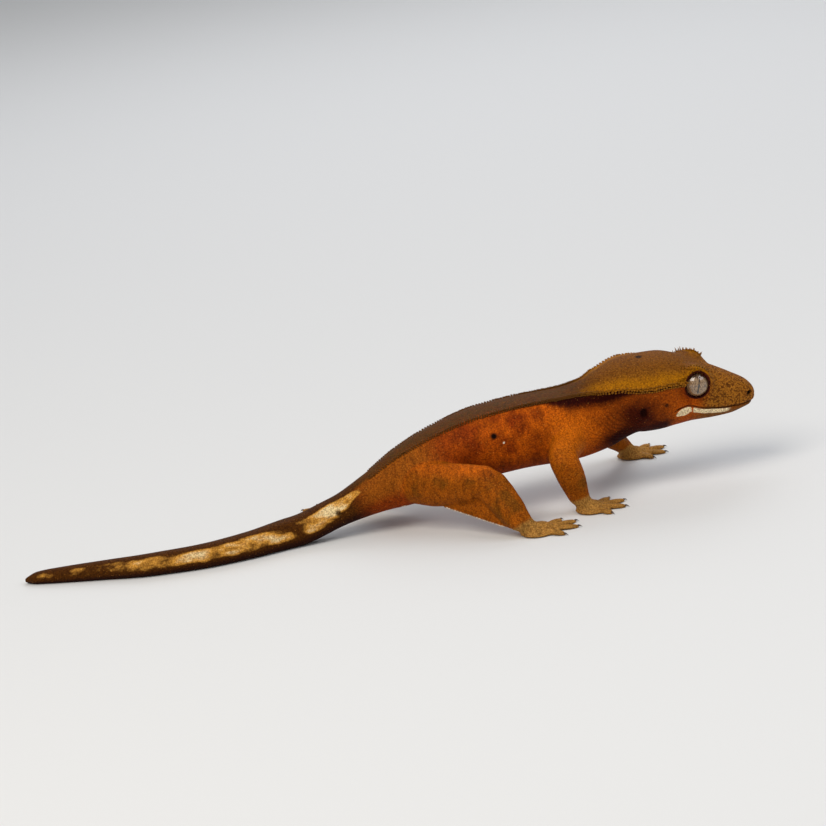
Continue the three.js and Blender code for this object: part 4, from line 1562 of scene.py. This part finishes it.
@dataclass(frozen=True)
class ReptileSkin:
    """Dry granular reptile skin, which scatters a little light and shows fine matt grains.

    The sizes are in millimetres. The scale cells are drawn a little coarser than they are in life, because
    they would be too fine to show in the render.
    """

    colours: CoatColours
    blotch: float = 6.0
    mottle: float = 1.7
    grain: float = 0.5
    scale_cell: float = 0.36
    marbling: float = 2.6
    streak: float = 0.9
    grain_height: float = 0.09
    scatter: float = 0.5

    def make(self) -> bpy.types.Material:
        """Makes the material.

        Returns:
            The material.
        """
        tones = self.colours
        nodes = Nodes("granular reptile skin")
        place = nodes.place()
        blotch = nodes.noise(place, self.blotch, 3.0)
        mottle = nodes.noise(place, self.mottle, 4.0)
        grain = nodes.noise(place, self.grain, 2.0)
        cell_count = 1.0 / (self.scale_cell * MILLIMETRE)
        cells = nodes.add("TexVoronoi", {"feature": "F1"}, Vector=place, Scale=cell_count)
        chance = nodes.add("SeparateColor", None, Color=cells.outputs["Color"]).outputs

        def lay(under: Socket, name: str, over: object, noise: Socket | None = None, *edge: float) -> Socket:
            """Lays a colour where a stored number is high.

            Args:
                under: The colour so far.
                name: The stored number.
                over: The colour to lay.
                noise: What breaks up its edge, if anything.
                *edge: How much, and the two numbers between which the colour fades in.

            Returns:
                The mixed colour.
            """
            shown = nodes.number(name)
            if noise is not None:
                shaken = nodes.math("MULTIPLY_ADD", nodes.math("SUBTRACT", noise, 0.5), edge[0], shown)
                shown = nodes.stepped(shaken, *edge[1:])
            return nodes.blend(shown, under, over)

        back = nodes.blend(nodes.stepped(mottle, 0.35, 0.7), tones.back, tones.back_olive)
        back = lay(back, "crown", tones.head)
        snout = nodes.blend(nodes.stepped(chance[0], 0.45, 0.8), tones.snout, tones.snout_dark)
        leg = nodes.blend(nodes.times(nodes.stepped(blotch, 0.5, 0.7), 0.6), tones.limb, tones.limb_olive)
        # Painted highlight along the upper edge of the near thigh.
        leg = lay(leg, "ridge", tones.ridge)
        leg = lay(leg, "hand", tones.hand, mottle, 0.5, 0.2, 0.9)
        tail = nodes.blend(nodes.number("under"), tones.tail, tones.tail_low)
        coat = nodes.blend(nodes.stepped(blotch, 0.38, 0.66), tones.flank, tones.flank_red)
        for name, over, *edge in (
            ("rear", tones.rear),
            ("low", tones.belly),
            ("rump", tones.rump),
            ("back", back, mottle, 0.5, 0.2, 0.8),
            ("snout", snout),
            ("chin", tones.chin),
            ("cheek", tones.cheek),
            ("golden", tones.golden, mottle, 0.5, 0.1, 0.9),
            ("limb", leg),
            ("warm", tones.warm),
            ("tail", tail),
        ):
            coat = lay(coat, name, over, *edge)

        marble = nodes.noise(nodes.stretch(place, (0.45, 1.0, 1.0)), self.marbling, 3.0)
        band = nodes.number("cream")
        patches = nodes.math("MULTIPLY_ADD", nodes.math("SUBTRACT", marble, 0.5), 2.6, band)
        covered = nodes.times(nodes.stepped(patches, 0.25, 0.9), nodes.stepped(band, 0.02, 0.3))
        cream = nodes.blend(nodes.stepped(patches, 0.75, 1.35), tones.cream, tones.cream_pale)
        coat = nodes.blend(covered, coat, cream)

        # Painted shade on the throat, under the head.
        coat = lay(coat, "throat_shade", tones.throat_shade, mottle, 0.4, 0.1, 0.9)
        # Painted shade on the side of the neck below the head.
        coat = lay(coat, "neck_shade", tones.neck_shade, mottle, 0.5, 0.1, 1.0)
        coat = nodes.blend(nodes.times(nodes.number("ear"), 0.85), coat, tones.ear)
        coat = lay(coat, "shadow", tones.shadow, grain, 0.5, 0.1, 0.85)
        coat = nodes.blend(nodes.times(nodes.number("crease"), 0.45), coat, tones.shadow)
        for name, over, *edge in (
            ("lip", tones.lip, mottle, 1.1, 0.3, 0.75),
            ("lid", tones.lid, grain, 0.4, 0.2, 0.8),
            ("pale", tones.pale, grain, 0.6, 0.3, 0.8),
            ("spot", tones.spot),
            # pit: painted shade inside the nostrils, ears and mouth line
            ("pit", tones.spot),
        ):
            coat = lay(coat, name, over, *edge)

        distance = cells.outputs["Distance"]
        # Painted shade in the gaps between the grains, darkest at the cell edges.
        between = nodes.times(nodes.stepped(distance, 0.35, 0.85), 0.5)
        coat = nodes.blend(between, coat, tones.grain_gap_shade, "MULTIPLY")
        streaks = nodes.noise(nodes.stretch(place, (1.0, 0.3, 0.3)), self.streak, 3.0)
        streaks = nodes.grey(nodes.math("MULTIPLY_ADD", streaks, 1.3, 0.35))
        coat = nodes.blend(nodes.number("flank"), coat, streaks, "MULTIPLY")
        lightness = nodes.math("MULTIPLY_ADD", grain, 0.6, 0.52)
        lightness = nodes.math("MULTIPLY_ADD", chance[1], 0.36, lightness)
        coat = nodes.blend(1.0, coat, nodes.grey(lightness), "MULTIPLY")
        # Painted glints on the centres of a few random grains.
        bright = nodes.times(nodes.stepped(chance[2], 0.9, 1.0), nodes.stepped(distance, 0.45, 0.2))
        coat = nodes.blend(nodes.times(bright, 0.3), coat, tones.grain_glint)
        height = nodes.math("SUBTRACT", 1.0, distance)
        raised = self.grain_height * MILLIMETRE
        grains = nodes.add("Bump", None, Strength=0.8, Distance=raised, Height=height)
        return nodes.surface(
            coat,
            Normal=grains.outputs[0],
            Roughness=0.6,
            Specular_IOR_Level=0.04,
            Subsurface_Weight=0.05,
            Subsurface_Radius=(1.0, 0.3, 0.1),
            Subsurface_Scale=self.scatter * MILLIMETRE,
        )


@dataclass(frozen=True)
class CrestHorn:
    """Horny scales in the coat's own colours, paler at the tip and a little glossier than the skin."""

    colours: CoatColours

    def make(self) -> bpy.types.Material:
        """Makes the material.

        Returns:
            The material.
        """
        nodes = Nodes("horny crest scales")
        tone = nodes.noise(nodes.place(), 2.5, 2.0)
        coat = nodes.blend(tone, self.colours.back_olive, self.colours.back)
        coat = nodes.blend(nodes.number("golden"), coat, self.colours.golden)
        tip = nodes.times(nodes.stepped(nodes.number("tip"), 0.4, 1.0), 0.5)
        coat = nodes.blend(tip, coat, self.colours.spine_tip)
        coat = nodes.blend(nodes.number("maroon"), coat, self.colours.lid)
        return nodes.surface(coat, Roughness=0.55, Specular_IOR_Level=0.12)


def claw_horn() -> bpy.types.Material:
    """Brown horn with a soft gloss."""
    return Nodes("brown claw horn").surface(0x4A3524, Roughness=0.35, Specular_IOR_Level=0.5)


@dataclass(frozen=True)
class WetEye:
    """A wet eye: taupe iris with dark veins and a wavy upright slit, under a clear glossy cornea."""

    lid_wide: float
    iris: int = 0x84603C
    iris_pale: int = 0xB2946E
    vein: int = 0x3A2214
    rim: int = 0x2A1710
    pupil: int = 0x060404
    vein_cell: float = 0.75
    slit_half: float = 0.17
    slit_wave: float = 0.05
    slit_reach: float = 2.45
    slit_aside: float = 0.1

    def make(self) -> bpy.types.Material:
        """Makes the material.

        Returns:
            The material.
        """
        nodes = Nodes("wet eye with slit pupil")
        place = nodes.place()
        split = nodes.add("SeparateXYZ", None, Vector=place).outputs
        x, y = (nodes.times(split[i], 1.0 / MILLIMETRE) for i in range(2))
        flat = nodes.math("SQRT", nodes.math("ADD", nodes.times(x, x), nodes.times(y, y)))
        cell_count = 1.0 / (self.vein_cell * MILLIMETRE)
        stretched = nodes.stretch(place, (2.2, 1.0, 1.0))
        edges = nodes.add("TexVoronoi", {"feature": "DISTANCE_TO_EDGE"}, Vector=stretched, Scale=cell_count)
        warp = nodes.times(nodes.noise(place, 0.5, 4.0), 0.12)
        vein = nodes.stepped(nodes.math("ADD", edges.outputs["Distance"], warp), 0.2, 0.06)
        iris = nodes.blend(nodes.noise(place, 1.4, 3.0), self.iris, self.iris_pale)
        iris = nodes.blend(nodes.times(vein, 0.85), iris, self.vein)
        rim = nodes.stepped(flat, 0.8 * self.lid_wide, 1.1 * self.lid_wide)
        iris = nodes.blend(nodes.times(rim, 0.7), iris, self.rim)
        wave = nodes.times(nodes.math("SINE", nodes.times(y, 4.6)), self.slit_wave)
        share = nodes.math("DIVIDE", y, self.slit_reach)
        taper = nodes.math("SUBTRACT", 1.0, nodes.times(share, share))
        half = nodes.times(nodes.math("ADD", self.slit_half, wave), nodes.math("MAXIMUM", taper, 0.0))
        aside = nodes.math("ABSOLUTE", nodes.math("SUBTRACT", x, self.slit_aside))
        pupil = nodes.stepped(nodes.math("SUBTRACT", aside, half), 0.05, -0.04)
        iris = nodes.blend(pupil, iris, self.pupil)
        cornea = {"Coat_Weight": 1.0, "Coat_Roughness": 0.04, "Coat_IOR": 1.8}
        return nodes.surface(iris, Roughness=0.5, Specular_IOR_Level=0.05, **cornea)


@dataclass
class EyeMaker:
    """Makes the two eyes, each with its own axis outward so that its markings face out."""

    head: Head
    shift: np.ndarray
    gap: float = 0.02

    def build(self, side: Side, material: bpy.types.Material) -> bpy.types.Object:
        """Makes one eye.

        Args:
            side: Which eye.
            material: Its material.

        Returns:
            The object.
        """
        name = "eyeball_" + side.name.lower()
        mesh = bpy.data.meshes.new(name)
        shape = bmesh.new()
        radius = (self.head.eye_radius - self.gap) * MILLIMETRE
        bmesh.ops.create_uvsphere(shape, u_segments=64, v_segments=40, radius=radius)
        shape.to_mesh(mesh)
        shape.free()
        mesh.shade_smooth()
        mesh.materials.append(material)
        out = side.value * self.head.left
        axes = (np.cross(self.head.up, out), self.head.up, out)
        centre = self.head.at_eyes(self.head.eye_place, side)
        return linked(name, mesh, axes, (centre + self.shift) * MILLIMETRE)


@dataclass(frozen=True)
class PhotoView:
    """Where the picture was taken from, in degrees, millimetres and pixels."""

    elevation: float = 15.0
    roll: float = 9.3
    distance: float = 900.0
    pixels_per_mm: float = 4.11
    picture: float = 826.0
    sensor: float = 36.0
    heel: Point = (0.0, -26.0, 0.0)
    heel_pixel: tuple[float, float] = (521.0, 538.0)

    def make(self, shift: np.ndarray) -> bpy.types.Object:
        """Makes the camera.

        Args:
            shift: What is added to design millimetres to reach the row's frame.

        Returns:
            The camera object.
        """
        tilt, roll = math.radians(self.elevation), math.radians(self.roll)
        back = np.array([0.0, -math.cos(tilt), math.sin(tilt)])
        level = np.cross(back, FORWARD)
        right = FORWARD * math.cos(roll) - level * math.sin(roll)
        up = FORWARD * math.sin(roll) + level * math.cos(roll)
        half = self.picture / 2
        aside = (self.heel_pixel[0] - half) / self.pixels_per_mm
        above = (half - self.heel_pixel[1]) / self.pixels_per_mm
        place = np.array(self.heel) + self.distance * back - aside * right - above * up
        data = bpy.data.cameras.new("camera")
        data.sensor_width = self.sensor
        data.lens = self.sensor * self.pixels_per_mm * self.distance / self.picture
        data.clip_end = 10.0
        camera = linked("camera", data, (right, up, back), (place + shift) * MILLIMETRE)
        bpy.context.scene.camera = camera
        return camera


@dataclass(frozen=True)
class Lamp:
    """A soft rectangular light aimed at the animal."""

    name: str
    place: Point
    size: float
    power: float
    colour: int
    aim: Point = (0.03, 0.0, 0.015)

    def make(self) -> bpy.types.Object:
        """Makes the light.

        Returns:
            The light object.
        """
        data = bpy.data.lights.new(self.name, "AREA")
        data.size = self.size
        data.energy = self.power
        data.color = linear(self.colour)[:3]
        turn = (Vector(self.aim) - Vector(self.place)).to_track_quat("-Z", "Y").to_matrix()
        return linked(self.name, data, np.array(turn).T, self.place)


LAMPS = (
    Lamp("sky left", (-0.35, -0.45, 0.75), 0.55, 5.0, 0xFFF8EE),
    Lamp("sky right", (0.6, -0.25, 0.55), 0.5, 1.8, 0xF2F6FF),
    Lamp("sky behind", (0.1, 0.7, 0.6), 0.6, 2.2, 0xF6F8FF),
)


def make_stage(reach: float = 4.0, glow: float = 0.46) -> None:
    """Adds the pale floor, the sky's glow and the lights.

    Args:
        reach: Half the floor's width in metres.
        glow: Strength of the sky.
    """
    mesh = bpy.data.meshes.new("floor")
    corners = [(-reach, -reach, 0.0), (reach, -reach, 0.0), (reach, reach, 0.0), (-reach, reach, 0.0)]
    mesh.from_pydata(corners, [], [(0, 1, 2, 3)])
    mesh.materials.append(Nodes("matt paper floor").surface(0xE2E2E0, Roughness=0.9))
    linked("floor", mesh)
    for lamp in LAMPS:
        lamp.make()
    world = bpy.data.worlds.new("pale sky")
    bpy.context.scene.world = world
    world.use_nodes = True
    background = world.node_tree.nodes["Background"]
    background.inputs["Color"].default_value = linear(0xE6E9EE)
    background.inputs["Strength"].default_value = glow


def main() -> None:
    """Builds the whole scene."""
    logging.basicConfig(level=logging.INFO, format="%(message)s")
    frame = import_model()
    head = Head(BodyLine())
    low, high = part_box("eye_right")
    shift = (np.array(low) + np.array(high)) / 2 / MILLIMETRE - head.at_eyes(head.eye_place, Side.RIGHT)
    shift[2] = 0.0
    log.info("shift %s", shift.round(3))

    colours = CoatColours()
    skin = SkinBuilder(head, shift).build()
    skin.data.materials.append(ReptileSkin(colours).make())
    flesh = [name for name in frame["nodes"] if not name.startswith("eye_")]
    horn = CrestHorn(colours).make()
    maker = SpineMaker(head, shift)
    crest, lashes = maker.crest(), maker.lashes()
    for piece in (crest, lashes):
        piece.data.materials.append(horn)
    claws = ClawMaker(shift).build()
    claws.data.materials.append(claw_horn())
    wet = WetEye(head.lid_wide).make()
    eyeballs = {side: EyeMaker(head, shift).build(side, wet) for side in Side}

    for piece in (skin, crest, lashes, claws, *eyeballs.values()):
        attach(piece, "root")
        log.info("%s: %d faces", piece.name, len(piece.data.polygons))
    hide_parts(*flesh)
    for side, eyeball in eyeballs.items():
        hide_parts("eye_" + side.name.lower())

    make_stage()
    bpy.context.scene.view_settings.view_transform = "Standard"
    PhotoView().make(shift)


if __name__ == "__main__":
    main()
